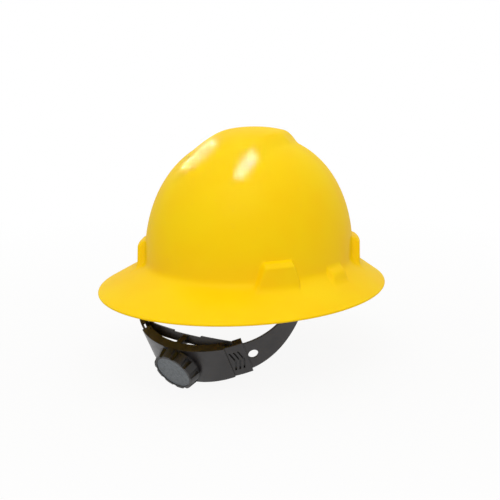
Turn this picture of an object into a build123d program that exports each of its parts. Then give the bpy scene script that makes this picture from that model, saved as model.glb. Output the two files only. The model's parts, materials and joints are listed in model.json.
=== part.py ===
from build123d import *
from math import acos, atan2, cos, pi, radians, sin, sqrt, tan
import os

# Full brim hard hat with a four point webbing suspension and a ratchet nape strap.
# Millimetres, +Z up, the front of the hat looks along -Y, the wearer's right is -X.
# The origin is the middle of the dome's foot, where the dome meets the brim.

# Shell, driving sizes
dome_half_length = 115.0
dome_half_width = 101.0
dome_height = 126.0
shell_wall = 2.4
brim_half_length = 165.0
brim_half_width = 135.0
brim_shift_back = 8.0
brim_drop = 24.4
brim_tilt_deg = 1.4
radial_power = 2.29
height_power = 2.19
profile_steps = 12

# Crown ridge, raised from the dome in a V that closes toward the front
ridge_rise = 6.5
ridge_rear_sink = 8.0
ridge_half_width = 35.0
ridge_tip_half_width = 8.0
ridge_tip_forward = 84.0
ridge_bend_forward = 12.0
ridge_rear_end = 112.0
ridge_corner = 6.0

# Suspension lugs on the shell, each with a socket that is open below
lug_rear_deg = 50.0
lug_front_deg = 132.0
lug_foot_width = 50.0
lug_top_width = 30.0
lug_height = 22.0
lug_stand_out = 7.0
lug_ledge_drop = 5.0
lug_ledge_run = 4.6
lug_lean = 0.8
socket_width = 26.0
socket_depth = 3.6
socket_top = 13.0
socket_face_wall = 2.8
socket_neck_width = 12.0

# Accessory bosses at the sides of the dome's foot
boss_length = 26.0
boss_stand_out = 9.0
boss_height = 6.0
boss_slope_deg = 30.0

# Fits
running_gap = 0.05
part_gap = 0.3
cut_overrun = 20.0

# Suspension keys and webbing
key_tab_drop = 7.0
key_plate_width = 26.0
key_plate_wall = 2.6
key_plate_inset = 8.0
key_plate_low = 12.0
key_window_low = 3.5
key_window_width = 20.0
key_bar_low = 9.0
key_bar_high = 13.0
key_corner = 1.2
peg_lift = 1.0
peg_radius = 2.2
peg_head_radius = 3.6
peg_head_thick = 1.2
peg_head_gap = 1.4
web_width = 19.0
web_thick = 1.2
web_rise = 90.0
web_crossing_gap = 2.4
web_corner = 1.0
web_sewn_rise = 34.0

# Headband, a strip on an oval, with a tail at each temple and four hangers
band_side_room = 16.6
band_end_room = 3.6
band_shift_back = 5.0
band_wall = 1.6
band_low = 34.0
band_high_drop = 8.0
band_bend_forward = 30.0
band_bend_back = 14.0
band_bend_drop = 25.0
tail_low = 16.0
tail_reach_back = 31.5
hanger_start_back = 8.0
hanger_low = 5.0
hanger_high = 7.0
hanger_reach_back = 66.0
hanger_reach_forward = 60.0
hanger_half_width = 7.0
hanger_flare = 4.0

# Brow pad on the inner face of the headband
pad_height = 32.0
pad_edge_thick = 2.6
pad_crown = 3.2
pad_half_angle_deg = 52.0
pad_channels = 7
pad_channel_radius = 2.0
pad_stud_deg = 45.0
pad_stud_radius = 2.0
pad_stud_head_radius = 3.5
pad_stud_head_thick = 1.0

# Nape loop, a circle about an axis that leans back, with the two arms of the strap on it
loop_stand_out = 5.75
loop_shift_back = 33.7
loop_drop = 37.5
loop_tilt_deg = 29.0
arm_wall = 1.6
arm_half_height = 16.0
arm_taper_share = 0.6
arm_shoulder_deg = 34.0
arm_free_deg = 45.0
arm_rise_rate = 28.7
arm_rise_bend_deg = 75.0
arm_end_deg = 102.0
arm_end_radius = 7.0
arm_edge_steps = 4
arm_hole_radius = 4.9
arm_hole_deg = 48.0
pivot_radius = 2.0
pivot_hole_radius = 2.8
pivot_head_radius = 3.6
pivot_head_thick = 1.0
pivot_head_gap = 0.9

# Rack and pinion
pinion_teeth = 10
pitch_radius = 6.25
pressure_deg = 25.0
tooth_addendum = 1.0
tooth_dedendum = 1.4
tooth_backlash = 0.5
flank_steps = 4
rack_half_height = 13.0
rack_slot_clear = 0.9
rack_lead_pitches = 2.5
rack_tail_pitches = 2.5
rack_end_margin = 5.0
knob_travel_deg = 345.0

# Nape cradle that carries the ratchet, and its back plate
cradle_half_angle_deg = 33.0
cradle_high = 21.0
cradle_low = 22.0
cradle_wall = 3.0
cradle_end_rim = 1.6
channel_high = 17.6
channel_low = 16.4
wing_end_deg = 44.3
wing_wall = 1.6
keeper_deg = 6.0
plate_wall = 2.2
plate_half_angle_deg = 30.0
plate_inset = 0.4
rail_radius = 155.0
rail_wall = 2.4
rail_height = 9.5
rail_set_in = 13.8
rail_middle_high = 20.0
rail_pitch_deg = 38.0
rail_half_chord = 60.0
rail_notch = 1.4
rail_notch_half = 17.0
post_width = 6.5
post_top_drop = 0.5
chevron_count = 3
chevron_start_deg = 34.2
chevron_pitch_deg = 2.6
chevron_gap = 1.8
chevron_half_height = 11.0
chevron_run = 3.0
rivet_radius = 0.8
rivet_head_radius = 1.4
rivet_head_thick = 0.9
rivet_length = 6.5
rivet_deg = 14.0
rivet_height = 19.0

# Knob and its click ring
housing_radius = 20.0
housing_stand_out = 0.7
click_ring_outer = 17.4
click_ring_wall = 1.7
click_ring_height = 2.6
click_teeth = 24
click_tooth_height = 0.8
knob_radius = 21.3
knob_flare = 2.2
knob_height = 11.0
knob_lobes = 10
knob_groove_radius = 3.4
knob_groove_sink = 1.3
knob_skirt_wall = 2.9
knob_web_depth = 5.9
knob_hub_wall = 3.0
knob_hub_drop = 2.2
knob_seat_wall = 1.5
cap_radius = 18.4
cap_thick = 1.5
cap_sink = 0.5
shaft_radius = 4.0
stub_radius = 2.4
screw_radius = 1.5
screw_length = 9.0
screw_head_radius = 3.2
screw_head_height = 1.6
spring_thick = 1.8
spring_arm_wall = 1.3
spring_hub_wall = 2.4
spring_nub_radius = 1.2
spring_sweep_deg = 100.0

# Values worked out from the sizes above
brim_slope = atan2(brim_drop, brim_half_width - dome_half_width)
front_slope = atan2(brim_drop, brim_half_length - brim_shift_back - dome_half_length)
lug_foot_drop = (lug_stand_out + lug_lean) * tan(max(brim_slope, front_slope)) + shell_wall / 2
socket_back = lug_stand_out - socket_face_wall - socket_depth
band_half_width = dome_half_width - shell_wall - band_side_room
band_half_length = dome_half_length - shell_wall - band_end_room
loop_radius = band_half_width + loop_stand_out
inner_arm_radius = loop_radius - (arm_wall + part_gap) / 2
outer_arm_radius = loop_radius + (arm_wall + part_gap) / 2
channel_inner = inner_arm_radius - arm_wall / 2 - part_gap
channel_outer = outer_arm_radius + arm_wall / 2 + part_gap
plate_inner = channel_inner - plate_wall
cradle_outer = channel_outer + cradle_wall
rail_middle_reach = plate_inner - rail_set_in
housing_face = cradle_outer + housing_stand_out
knob_face = housing_face + knob_height
knob_web_low = knob_face - knob_web_depth
tooth_pitch = 2 * pi * pitch_radius / pinion_teeth
rack_travel = pitch_radius * radians(knob_travel_deg)
cap_low = knob_face - cap_sink - cap_thick
screw_seat = cap_low - screw_head_height - part_gap / 2
shaft_top = screw_seat - knob_seat_wall

# Frame of the nape loop: x to the wearer's right, y up along the loop's axis, z to the rear.
# Angles on the loop are measured from the rear toward the wearer's right.
loop_lean = radians(loop_tilt_deg)
loop_frame = Plane(
    origin=(0, loop_shift_back, -loop_drop),
    x_dir=(-1, 0, 0),
    z_dir=(0, cos(loop_lean), -sin(loop_lean)),
)

os.makedirs("parts", exist_ok=True)


def save(shape, name):
    export_step(shape, "parts/" + name + ".step")


# General helpers
def rod(radius, low, high):
    """Cylinder along z from low to high."""
    return extrude(Pos(0, 0, low) * Circle(radius), high - low, dir=(0, 0, 1))


def ring_point(radius, angle_deg):
    angle = radians(angle_deg)
    return (radius * sin(angle), radius * cos(angle))


def ring_part(inner, outer, low, high, start_deg, end_deg):
    """Part of a tube about the loop's axis."""
    middle_deg = (start_deg + end_deg) / 2
    edges = [
        ThreePointArc(*[ring_point(outer, angle) for angle in (start_deg, middle_deg, end_deg)]),
        Line(ring_point(outer, end_deg), ring_point(inner, end_deg)),
        ThreePointArc(*[ring_point(inner, angle) for angle in (end_deg, middle_deg, start_deg)]),
        Line(ring_point(inner, start_deg), ring_point(outer, start_deg)),
    ]
    face = Pos(0, low, 0) * (Plane.XZ * make_face(edges))
    return extrude(face, high - low, dir=(0, 1, 0))


def radial(shape, angle_deg, height=0):
    """Stand a shape that is drawn along z out from the loop's axis."""
    return Pos(0, height, 0) * Rot(0, angle_deg, 0) * shape


# Shell
def dome(length_front, length_rear, width_grow, height_grow, floor):
    """Oval dome; each half axis grows by the given amount, and the floor lies below the foot."""
    half_length = dome_half_length + (length_front + length_rear) / 2
    half_width = dome_half_width + width_grow
    height = dome_height + height_grow
    points = []
    for step in range(profile_steps + 1):
        angle = radians(90 * step / profile_steps)
        reach = half_length * max(cos(angle), 0) ** (2 / radial_power)
        rise = height * sin(angle) ** (2 / height_power)
        points.append((reach, rise))
    points[-1] = (0, height)
    arcs = [
        ThreePointArc(points[step], points[step + 1], points[step + 2])
        for step in range(0, profile_steps, 2)
    ]
    edges = [
        *arcs,
        Line((0, height), (0, -floor)),
        Line((0, -floor), (half_length, -floor)),
        Line((half_length, -floor), (half_length, 0)),
    ]
    solid = revolve(Plane.XZ * make_face(edges), Axis.Z, 360)
    solid = scale(solid, by=(half_width / half_length, 1, 1))
    return Pos(0, (length_rear - length_front) / 2, 0) * solid


def brim_cone(lower):
    """Solid under the brim's sloping face, moved down by lower."""
    foot = Pos(0, 0, -lower) * Ellipse(
        dome_half_width - shell_wall / 2, dome_half_length - shell_wall / 2
    )
    lean = radians(brim_tilt_deg)
    edge_plane = Plane(
        origin=(0, brim_shift_back, -brim_drop - lower),
        x_dir=(1, 0, 0),
        z_dir=(0, -sin(lean), cos(lean)),
    )
    edge = edge_plane * Ellipse(brim_half_width, brim_half_length)
    return loft([foot, edge], ruled=True)


def ridge_prism(inset):
    """Upright prism with the plan of the crown ridge, drawn in by inset."""
    wide = ridge_half_width - inset
    narrow = ridge_tip_half_width - inset
    tip = -ridge_tip_forward + inset
    plan = Polyline(
        (wide, ridge_rear_end),
        (wide, -ridge_bend_forward),
        (narrow, tip),
        (-narrow, tip),
        (-wide, -ridge_bend_forward),
        (-wide, ridge_rear_end),
        close=True,
    )
    face = make_face(plan)
    front_corners = face.vertices().sort_by(Axis.Y)[:4]
    face = fillet(front_corners, ridge_corner)
    return extrude(face, dome_height + ridge_rise + cut_overrun)


def lug_frame(angle_deg):
    """Plane on the dome's foot: x along the wall, y up, z out of the wall."""
    angle = radians(angle_deg)
    reach = 1 / sqrt((cos(angle) / dome_half_length) ** 2 + (sin(angle) / dome_half_width) ** 2)
    place = Vector(reach * sin(angle), reach * cos(angle), 0)
    out = Vector(place.X / dome_half_width**2, place.Y / dome_half_length**2, 0).normalized()
    along = out.cross(Vector(0, 0, 1))
    return Plane(origin=place, x_dir=-along, z_dir=out)


def lug():
    """One lug in its own frame: a flared block with a sloping ledge on top."""
    front = Polyline(
        (-lug_foot_width / 2, -lug_foot_drop),
        (lug_foot_width / 2, -lug_foot_drop),
        (lug_top_width / 2, lug_height),
        (-lug_top_width / 2, lug_height),
        close=True,
    )
    block = extrude(Pos(0, 0, -shell_wall) * make_face(front), lug_stand_out + 2 * shell_wall)
    side = Polyline(
        (-lug_foot_drop, -shell_wall / 2),
        (-lug_foot_drop, lug_stand_out + lug_lean),
        (lug_height - lug_ledge_drop, lug_stand_out),
        (lug_height, lug_stand_out - lug_ledge_run),
        (lug_height, -shell_wall / 2),
        close=True,
    )
    slab = extrude(Plane.YZ * make_face(side), lug_foot_width, both=True)
    return block & slab


def lug_socket():
    """The hollow of one lug, open below, with a neck through the wall to the inside."""
    low = -lug_foot_drop - cut_overrun
    room_height = socket_top - low
    room = Pos(0, low + room_height / 2, socket_back + socket_depth / 2) * Box(
        socket_width, room_height, socket_depth
    )
    neck_height = key_window_low + part_gap - low
    neck_depth = 2 * shell_wall + socket_back + socket_depth / 2
    neck = Pos(0, low + neck_height / 2, neck_depth / 2 - 2 * shell_wall) * Box(
        socket_neck_width, neck_height, neck_depth
    )
    return room + neck


def side_boss():
    """Low wedge at the widest place of the dome's foot, where a side accessory clips on."""
    start = dome_half_width - shell_wall / 2
    reach = dome_half_width + boss_stand_out
    outline = Polyline(
        (start, -boss_length / 2),
        (reach, -boss_length / 2 + boss_height),
        (reach, boss_length / 2 - boss_height),
        (start, boss_length / 2),
        close=True,
    )
    low = -boss_stand_out * tan(brim_slope) - shell_wall / 2
    block = extrude(Pos(0, 0, low) * make_face(outline), boss_height - low)
    above = Pos(0, 0, cut_overrun / 2) * Box(2 * dome_half_width, 2 * boss_length, cut_overrun)
    return block - Pos(dome_half_width, 0, boss_height) * Rot(0, boss_slope_deg, 0) * above


def make_shell():
    drop = shell_wall / cos(brim_slope)
    ridge_inner = ridge_rise - shell_wall
    sink_inner = -ridge_rear_sink - shell_wall
    outside = dome(0, 0, 0, 0, shell_wall) + brim_cone(0)
    inside = dome(-shell_wall, -shell_wall, -shell_wall, -shell_wall, cut_overrun)
    ridge = dome(ridge_rise, -ridge_rear_sink, ridge_rise, ridge_rise, shell_wall)
    hollow = dome(ridge_inner, sink_inner, ridge_inner, ridge_inner, shell_wall)
    body = outside + (ridge & ridge_prism(0))
    frames = [
        lug_frame(side * angle) for angle in (lug_rear_deg, lug_front_deg) for side in (-1, 1)
    ]
    for frame in frames:
        body = body + frame * lug()
    boss = side_boss()
    body = body + boss + mirror(boss, about=Plane.YZ)
    body = body - brim_cone(drop) - inside - (hollow & ridge_prism(shell_wall))
    for frame in frames:
        body = body - frame * lug_socket()
    return body


# Webbing and its keys, each in the upright plane through two opposite lugs
def strap_ends(side):
    rear = lug_frame(side * lug_rear_deg).origin
    front = lug_frame(-side * lug_front_deg).origin
    return rear, front


def strap_frame(side):
    """Frame of one strap: x along it to the rear lug of the given side, y up."""
    rear, front = strap_ends(side)
    along = (rear - front).normalized()
    return Plane(origin=(rear + front) * 0.5, x_dir=along, z_dir=along.cross(Vector(0, 0, 1)))


def bar_reach():
    """Distance from a strap's middle to the bar of each of its keys."""
    rear, front = strap_ends(1)
    return (rear - front).length / 2 - key_plate_inset


def band_crossing(frame, end, inset):
    """Distance from a strap's middle to the headband's oval, drawn in by inset."""
    half_width = band_half_width - inset
    half_length = band_half_length - inset
    step = frame.x_dir * end
    start = frame.origin
    back = start.Y - band_shift_back
    square = (step.X / half_width) ** 2 + (step.Y / half_length) ** 2
    middle = start.X * step.X / half_width**2 + back * step.Y / half_length**2
    rest = (start.X / half_width) ** 2 + (back / half_length) ** 2 - 1
    return (-middle + sqrt(middle**2 - square * rest)) / square


def make_key(side, end):
    """One key; end is +1 for the strap's rear end and -1 for its front end."""
    frame = strap_frame(side)
    angle = side * lug_rear_deg if end > 0 else -side * lug_front_deg
    tab_height = socket_top - part_gap + key_tab_drop
    tab = Pos(0, tab_height / 2 - key_tab_drop, socket_back + socket_depth / 2) * Box(
        socket_width - 2 * part_gap, tab_height, socket_depth - 2 * part_gap
    )
    neck_height = key_window_low + key_tab_drop
    neck_depth = key_plate_inset + socket_back + socket_depth / 2
    neck = Pos(0, neck_height / 2 - key_tab_drop, neck_depth / 2 - key_plate_inset) * Box(
        socket_neck_width - 2 * part_gap, neck_height, neck_depth
    )
    plate_height = key_bar_high + key_plate_low
    face = Pos(0, key_bar_high - plate_height / 2) * RectangleRounded(
        key_plate_width, plate_height, key_corner
    )
    window_height = key_bar_low - key_window_low
    face = face - Pos(0, key_window_low + window_height / 2) * Rectangle(
        key_window_width, window_height
    )
    plate = Pos(end * bar_reach(), 0, 0) * Rot(0, 90, 0) * extrude(
        face, key_plate_wall / 2, both=True
    )
    head_face = band_crossing(frame, end, band_wall) - peg_head_gap
    peg = rod(peg_radius, head_face - peg_head_thick, bar_reach())
    peg = peg + rod(peg_head_radius, head_face - peg_head_thick, head_face)
    peg = Pos(0, peg_lift, 0) * Rot(0, end * 90, 0) * peg
    return frame * (plate + peg) + lug_frame(angle) * (tab + neck)


def make_strap(side, lift):
    """Crown strap with a sewn loop at each end round the key's bar."""
    bar_half = key_plate_wall / 2 + part_gap
    foot = bar_reach() - bar_half
    rise = web_rise + lift - key_bar_high
    base = Pos(0, key_bar_high)
    outer = base * Ellipse(foot, rise)
    inner = base * Ellipse(foot - web_thick, rise - web_thick)
    sewn = base * Ellipse(foot + web_thick, rise + web_thick)
    above = Pos(0, key_bar_high + rise) * Rectangle(4 * foot, 2 * rise)
    sewn_zone = Pos(0, key_bar_high + web_sewn_rise / 2) * Rectangle(4 * foot, web_sewn_rise)
    face = ((outer - inner) & above) + ((sewn - outer) & sewn_zone)
    hole = Rectangle(2 * bar_half, key_bar_high - key_bar_low + 2 * part_gap)
    ring = RectangleRounded(
        2 * (bar_half + web_thick),
        key_bar_high - key_bar_low + 2 * (part_gap + web_thick),
        web_corner,
    )
    places = [Pos(end * bar_reach(), (key_bar_low + key_bar_high) / 2) for end in (-1, 1)]
    for place in places:
        face = face + place * ring - place * hole
    return strap_frame(side) * extrude(face, web_width / 2, both=True)


# Headband and brow pad
def pivot_high():
    return arm_rise(arm_end_deg)


def pivot_reach(radius):
    """Mean reach to the rear of an arm's end hole over the knob's travel."""
    loose = radius * cos(radians(arm_end_deg))
    tight = radius * cos(radians(arm_end_deg) - rack_travel / radius) - rack_travel
    return (loose + tight) / 2


def pivot_stud(radius, side):
    """Headed stud on a tail of the headband, in the end hole of one arm."""
    back = loop_shift_back + pivot_reach(radius) * cos(loop_lean) + pivot_high() * sin(loop_lean)
    share = (back - band_shift_back) / band_half_length
    start = band_half_width * sqrt(1 - share**2) - band_wall / 2
    head = radius + arm_wall / 2 + pivot_head_gap
    stud = rod(pivot_radius, start, head) + rod(pivot_head_radius, head, head + pivot_head_thick)
    return loop_frame * Pos(0, pivot_high(), pivot_reach(radius)) * Rot(0, side * 90, 0) * stud


def make_headband():
    oval = Ellipse(band_half_width, band_half_length) - Ellipse(
        band_half_width - band_wall, band_half_length - band_wall
    )
    strip = extrude(Pos(0, band_shift_back, -band_low) * oval, band_low + hanger_high)
    front = -band_half_length - cut_overrun
    tab_rear = -hanger_reach_forward + hanger_half_width
    tab_front = -hanger_reach_forward - hanger_half_width
    outline = Polyline(
        (front, -band_low),
        (-band_bend_forward, -band_low),
        (band_bend_back, -band_bend_drop),
        (tail_reach_back, -tail_low),
        (tail_reach_back, -hanger_low),
        (hanger_reach_back, -hanger_low),
        (hanger_reach_back, hanger_high),
        (hanger_start_back, hanger_high),
        (-hanger_start_back, -band_high_drop),
        (tab_rear + hanger_flare, -band_high_drop),
        (tab_rear, hanger_high),
        (tab_front, hanger_high),
        (tab_front - hanger_flare, -band_high_drop),
        (front, -band_high_drop),
        close=True,
    )
    band = strip & extrude(Plane.YZ * make_face(outline), 2 * band_half_width, both=True)
    band = band + pivot_stud(outer_arm_radius, 1) + pivot_stud(inner_arm_radius, -1)
    for side in (-1, 1):
        frame = strap_frame(side)
        for end in (-1, 1):
            reach = band_crossing(frame, end, band_wall)
            drill = rod(peg_radius + part_gap, reach - peg_head_radius, reach + peg_head_radius)
            band = band - frame * (Pos(0, peg_lift, 0) * Rot(0, end * 90, 0) * drill)
        drill = rod(pad_stud_radius + part_gap, -2 * band_wall, 2 * band_wall)
        band = band - pad_stud_frame(side) * drill
    return band


def pad_stud_frame(side):
    """Frame on the headband's outer face near one end of the pad, z out of the band."""
    angle = radians(pad_stud_deg)
    x = side * band_half_width * sin(angle)
    back = -band_half_length * cos(angle)
    middle = -(band_low + band_high_drop) / 2
    out = Vector(x / band_half_width**2, back / band_half_length**2, 0).normalized()
    return Plane(origin=(x, band_shift_back + back, middle), x_dir=(0, 0, 1), z_dir=out)


def make_pad_stud(side):
    head = rod(pad_stud_head_radius, part_gap, part_gap + pad_stud_head_thick)
    shank = rod(pad_stud_radius, -band_wall - pad_edge_thick, part_gap)
    return pad_stud_frame(side) * (head + shank)


def make_pad():
    """Brow pad: crowned toward the head, drawn in at its edges, with sewn channels."""
    half_width = band_half_width - band_wall - part_gap
    half_length = band_half_length - band_wall - part_gap
    middle = -(band_low + band_high_drop) / 2
    turn = pad_half_angle_deg
    path = Pos(0, 0, middle) * EllipticalCenterArc(
        (0, band_shift_back), half_width, half_length, 270 - turn, arc_size=2 * turn
    )
    tangent = path % 0
    plane = Plane(origin=path @ 0, x_dir=Vector(0, 0, 1).cross(tangent), z_dir=tangent)
    half = pad_height / 2
    crown = pad_edge_thick + pad_crown
    profile = make_face(
        [
            Line((0, -half), (0, half)),
            Line((0, half), (pad_edge_thick, half)),
            ThreePointArc((pad_edge_thick, half), (crown, 0), (pad_edge_thick, -half)),
            Line((pad_edge_thick, -half), (0, -half)),
        ]
    )
    pad = sweep(plane * profile, path=path)
    depth = crown + pad_channel_radius / 2
    for step in range(pad_channels):
        angle = radians((step - (pad_channels - 1) / 2) * 2 * turn / (pad_channels + 1))
        place = Pos(
            (half_width - depth) * sin(angle),
            band_shift_back - (half_length - depth) * cos(angle),
            middle,
        )
        pad = pad - place * rod(pad_channel_radius, -pad_height, pad_height)
    for side in (-1, 1):
        hole = rod(pad_stud_radius + part_gap, -band_wall - pad_edge_thick - part_gap, band_wall)
        pad = pad - pad_stud_frame(side) * hole
    return pad


# Arms of the nape strap, in the loop's frame
def arm_rise(angle_deg):
    """Height of an arm's middle line above the loop's circle."""
    bend = radians(arm_rise_bend_deg - arm_free_deg)
    turn = radians(max(angle_deg - arm_free_deg, 0))
    if turn <= bend:
        return arm_rise_rate * turn**2
    return arm_rise_rate * bend * (2 * turn - bend)


def arm_half(angle_deg):
    turn = radians(max(angle_deg - arm_free_deg, 0))
    return arm_half_height * (1 - arm_taper_share * turn)


def arm_outline(radius):
    """Side view of an arm, heights first and reach to the rear second."""
    turn = arm_end_deg - arm_free_deg
    angles = [arm_free_deg + turn * step / arm_edge_steps for step in range(arm_edge_steps + 1)]
    upper = [(arm_rise(a) + arm_half(a), radius * cos(radians(a))) for a in angles]
    lower = [(arm_rise(a) - arm_half(a), radius * cos(radians(a))) for a in reversed(angles)]
    shoulder = radius * cos(radians(arm_shoulder_deg))
    far = 2 * radius
    return make_face(
        [
            Polyline(
                (rack_half_height, far),
                (rack_half_height, shoulder),
                (arm_half_height, shoulder),
                upper[0],
            ),
            Spline(*upper),
            Line(upper[-1], lower[0]),
            Spline(*lower),
            Polyline(
                lower[-1],
                (-arm_half_height, shoulder),
                (-rack_half_height, shoulder),
                (-rack_half_height, far),
                (rack_half_height, far),
            ),
        ]
    )


def rack_gap(radius, rack_side):
    """Gap between two teeth with straight flanks, above the slot for rack_side +1."""
    slope = tan(radians(pressure_deg))
    pitch_half = (tooth_pitch + tooth_backlash) / 4
    mouth = -tooth_addendum - part_gap
    outline = Polyline(
        (-pitch_half + mouth * slope, rack_side * (pitch_radius + mouth)),
        (pitch_half - mouth * slope, rack_side * (pitch_radius + mouth)),
        (pitch_half - tooth_dedendum * slope, rack_side * (pitch_radius + tooth_dedendum)),
        (-pitch_half + tooth_dedendum * slope, rack_side * (pitch_radius + tooth_dedendum)),
        close=True,
    )
    low = radius - 2 * arm_wall
    return extrude(Pos(0, 0, low) * make_face(outline), 4 * arm_wall, dir=(0, 0, 1))


def make_arm(radius, rack_side):
    """Arm to the wearer's right; rack_side is +1 for teeth on the slot's upper edge."""
    inner = radius - arm_wall / 2
    outer = radius + arm_wall / 2
    degrees_per_length = 1 / radians(1) / radius
    slot_start = -rack_lead_pitches * tooth_pitch * degrees_per_length
    slot_end = (rack_travel + rack_tail_pitches * tooth_pitch) * degrees_per_length
    start_deg = slot_start - rack_end_margin * degrees_per_length
    tall = 3 * arm_half_height
    far = 2 * radius
    sheet = ring_part(inner, outer, -tall, tall, start_deg, arm_end_deg + arm_end_radius)
    tip = Pos(0, pivot_high(), radius * cos(radians(arm_end_deg))) * Rot(0, 90, 0) * Cylinder(
        arm_end_radius, 2 * far
    )
    arm = sheet & (extrude(Plane.YZ * arm_outline(radius), far, both=True) + tip)
    arm = arm - radial(rod(arm_hole_radius, inner / 2, far), arm_hole_deg)
    arm = arm - radial(rod(pivot_hole_radius, inner / 2, far), arm_end_deg, pivot_high())
    tips = pitch_radius - tooth_addendum
    plain = pitch_radius + tooth_addendum + rack_slot_clear
    slot_low, slot_high = (-plain, tips) if rack_side > 0 else (-tips, plain)
    arm = arm - ring_part(
        inner - arm_wall, outer + arm_wall, slot_low, slot_high, slot_start, slot_end
    )
    gap = rack_gap(radius, rack_side)
    first = -int(rack_lead_pitches)
    last = int(rack_travel / tooth_pitch + rack_tail_pitches)
    gaps = [
        radial(gap, step * tooth_pitch * degrees_per_length) for step in range(first, last)
    ]
    return arm.cut(*gaps)


# Pinion
def involute(radius):
    base = pitch_radius * cos(radians(pressure_deg))
    pressure = acos(min(base / radius, 1))
    return tan(pressure) - pressure


def pinion_tooth():
    """Outline of the tooth that points up, with involute flanks."""
    root = pitch_radius - tooth_dedendum
    tip = pitch_radius + tooth_addendum
    start = max(pitch_radius * cos(radians(pressure_deg)), root)
    half_angle = (tooth_pitch - tooth_backlash) / 4 / pitch_radius + involute(pitch_radius)
    flank = [((root - part_gap) * sin(half_angle), (root - part_gap) * cos(half_angle))]
    for step in range(flank_steps + 1):
        radius = start + (tip - start) * step / flank_steps
        angle = half_angle - involute(radius)
        flank.append((radius * sin(angle), radius * cos(angle)))
    mirrored = [(-x, y) for x, y in reversed(flank)]
    return make_face(Polyline(*flank, *mirrored, close=True))


def make_pinion():
    """Pinion with its shaft to the knob and its stub in the back plate."""
    tip = pitch_radius + tooth_addendum
    low = channel_inner + part_gap / 2
    high = sqrt(channel_outer**2 - tip**2) - part_gap / 2
    tooth = extrude(Pos(0, 0, low) * pinion_tooth(), high - low, dir=(0, 0, 1))
    teeth = [Rot(0, 0, 360 * step / pinion_teeth) * tooth for step in range(pinion_teeth)]
    core = rod(pitch_radius - tooth_dedendum, low, high)
    shaft = rod(shaft_radius, high, shaft_top)
    stub = rod(stub_radius, plate_inner + part_gap, low)
    pilot = rod(screw_radius + running_gap, screw_seat - screw_length - part_gap, screw_seat)
    return core.fuse(shaft, stub, *teeth) - pilot


# Nape cradle, in the loop's frame
def lens(inset):
    """Rear view of the cradle: bowed upper and lower edges, drawn in by inset."""
    end = cradle_outer * sin(radians(cradle_half_angle_deg))
    high = channel_high + cradle_end_rim - inset
    low = -channel_low - cradle_end_rim + inset
    face = make_face(
        [
            ThreePointArc((-end, high), (0, cradle_high - inset), (end, high)),
            Line((end, high), (end, low)),
            ThreePointArc((end, low), (0, -cradle_low + inset), (-end, low)),
            Line((-end, low), (-end, high)),
        ]
    )
    return extrude(face, 2 * cradle_outer, dir=(0, 0, 1))


def click_ring():
    """Ring of inward teeth on the housing's face."""
    wall_radius = click_ring_outer - click_ring_wall
    points = []
    for step in range(2 * click_teeth):
        angle = radians(180 * step / click_teeth)
        radius = wall_radius - click_tooth_height * (step % 2)
        points.append((radius * cos(angle), radius * sin(angle)))
    face = Circle(click_ring_outer) - make_face(Polyline(*points, close=True))
    foot = housing_face - part_gap
    return extrude(Pos(0, 0, foot) * face, click_ring_height + part_gap, dir=(0, 0, 1))


def make_rail():
    """Flatter rail from wing to wing on the head's side, with a notch in its upper edge."""
    degrees_per_length = 1 / radians(1) / rail_radius
    half_deg = rail_half_chord * degrees_per_length
    notch_deg = rail_notch_half * degrees_per_length
    inner = rail_radius - rail_wall
    strip = ring_part(inner, rail_radius, -rail_height, 0, -half_deg, half_deg)
    notch = ring_part(
        inner - rail_wall, rail_radius + rail_wall, -rail_notch, rail_wall, -notch_deg, notch_deg
    )
    strip = Pos(0, 0, -rail_radius) * (strip - notch)
    return Pos(0, rail_middle_high, rail_middle_reach) * Rot(-rail_pitch_deg, 0, 0) * strip


def rail_point(down, inset):
    """Place in the rail's middle section, down from its upper edge and in from its rear face."""
    pitch = radians(rail_pitch_deg)
    high = rail_middle_high - down * cos(pitch) - inset * sin(pitch)
    back = rail_middle_reach + down * sin(pitch) - inset * cos(pitch)
    return (high, back)


def make_post():
    """Web that carries the rail's middle on the cradle's upper wall."""
    side = Polyline(
        rail_point(rail_notch, rail_wall / 2),
        (cradle_high - post_top_drop, loop_radius),
        (channel_high, loop_radius),
        (channel_high, plate_inner),
        rail_point(rail_height, rail_wall / 2),
        close=True,
    )
    return extrude(Plane.YZ * make_face(side), post_width / 2, both=True)


def post_room(gap):
    """Space of the post where it passes the back plate's upper edge."""
    height = 2 * (cradle_high - channel_high)
    return Pos(0, channel_high - gap + height / 2, plate_inner) * Box(
        post_width + 2 * gap, height, 4 * plate_wall
    )


def chevron(angle_deg):
    """Arrow shaped opening in a wing's outer wall."""
    arrow = Polyline(
        (0, chevron_half_height),
        (chevron_gap, chevron_half_height),
        (chevron_gap + chevron_run, 0),
        (chevron_gap, -chevron_half_height),
        (0, -chevron_half_height),
        (chevron_run, 0),
        close=True,
    )
    face = Pos(0, 0, channel_outer - part_gap) * make_face(arrow)
    return radial(extrude(face, 2 * wing_wall, dir=(0, 0, 1)), angle_deg)


def make_wing():
    """Thin end of the cradle, with a loop at its end that keeps the arm on the cradle."""
    high = channel_high + cradle_end_rim
    low = -channel_low - cradle_end_rim
    outer = channel_outer + wing_wall
    start = cradle_half_angle_deg - chevron_pitch_deg
    wing = ring_part(channel_outer, outer, low, high, start, wing_end_deg)
    wing = wing + ring_part(plate_inner, outer, low, high, wing_end_deg - keeper_deg, wing_end_deg)
    for step in range(chevron_count):
        wing = wing - chevron(chevron_start_deg + step * chevron_pitch_deg)
    return wing


def rivet_places():
    return [(side * rivet_deg, end * rivet_height) for side in (-1, 1) for end in (-1, 1)]


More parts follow.
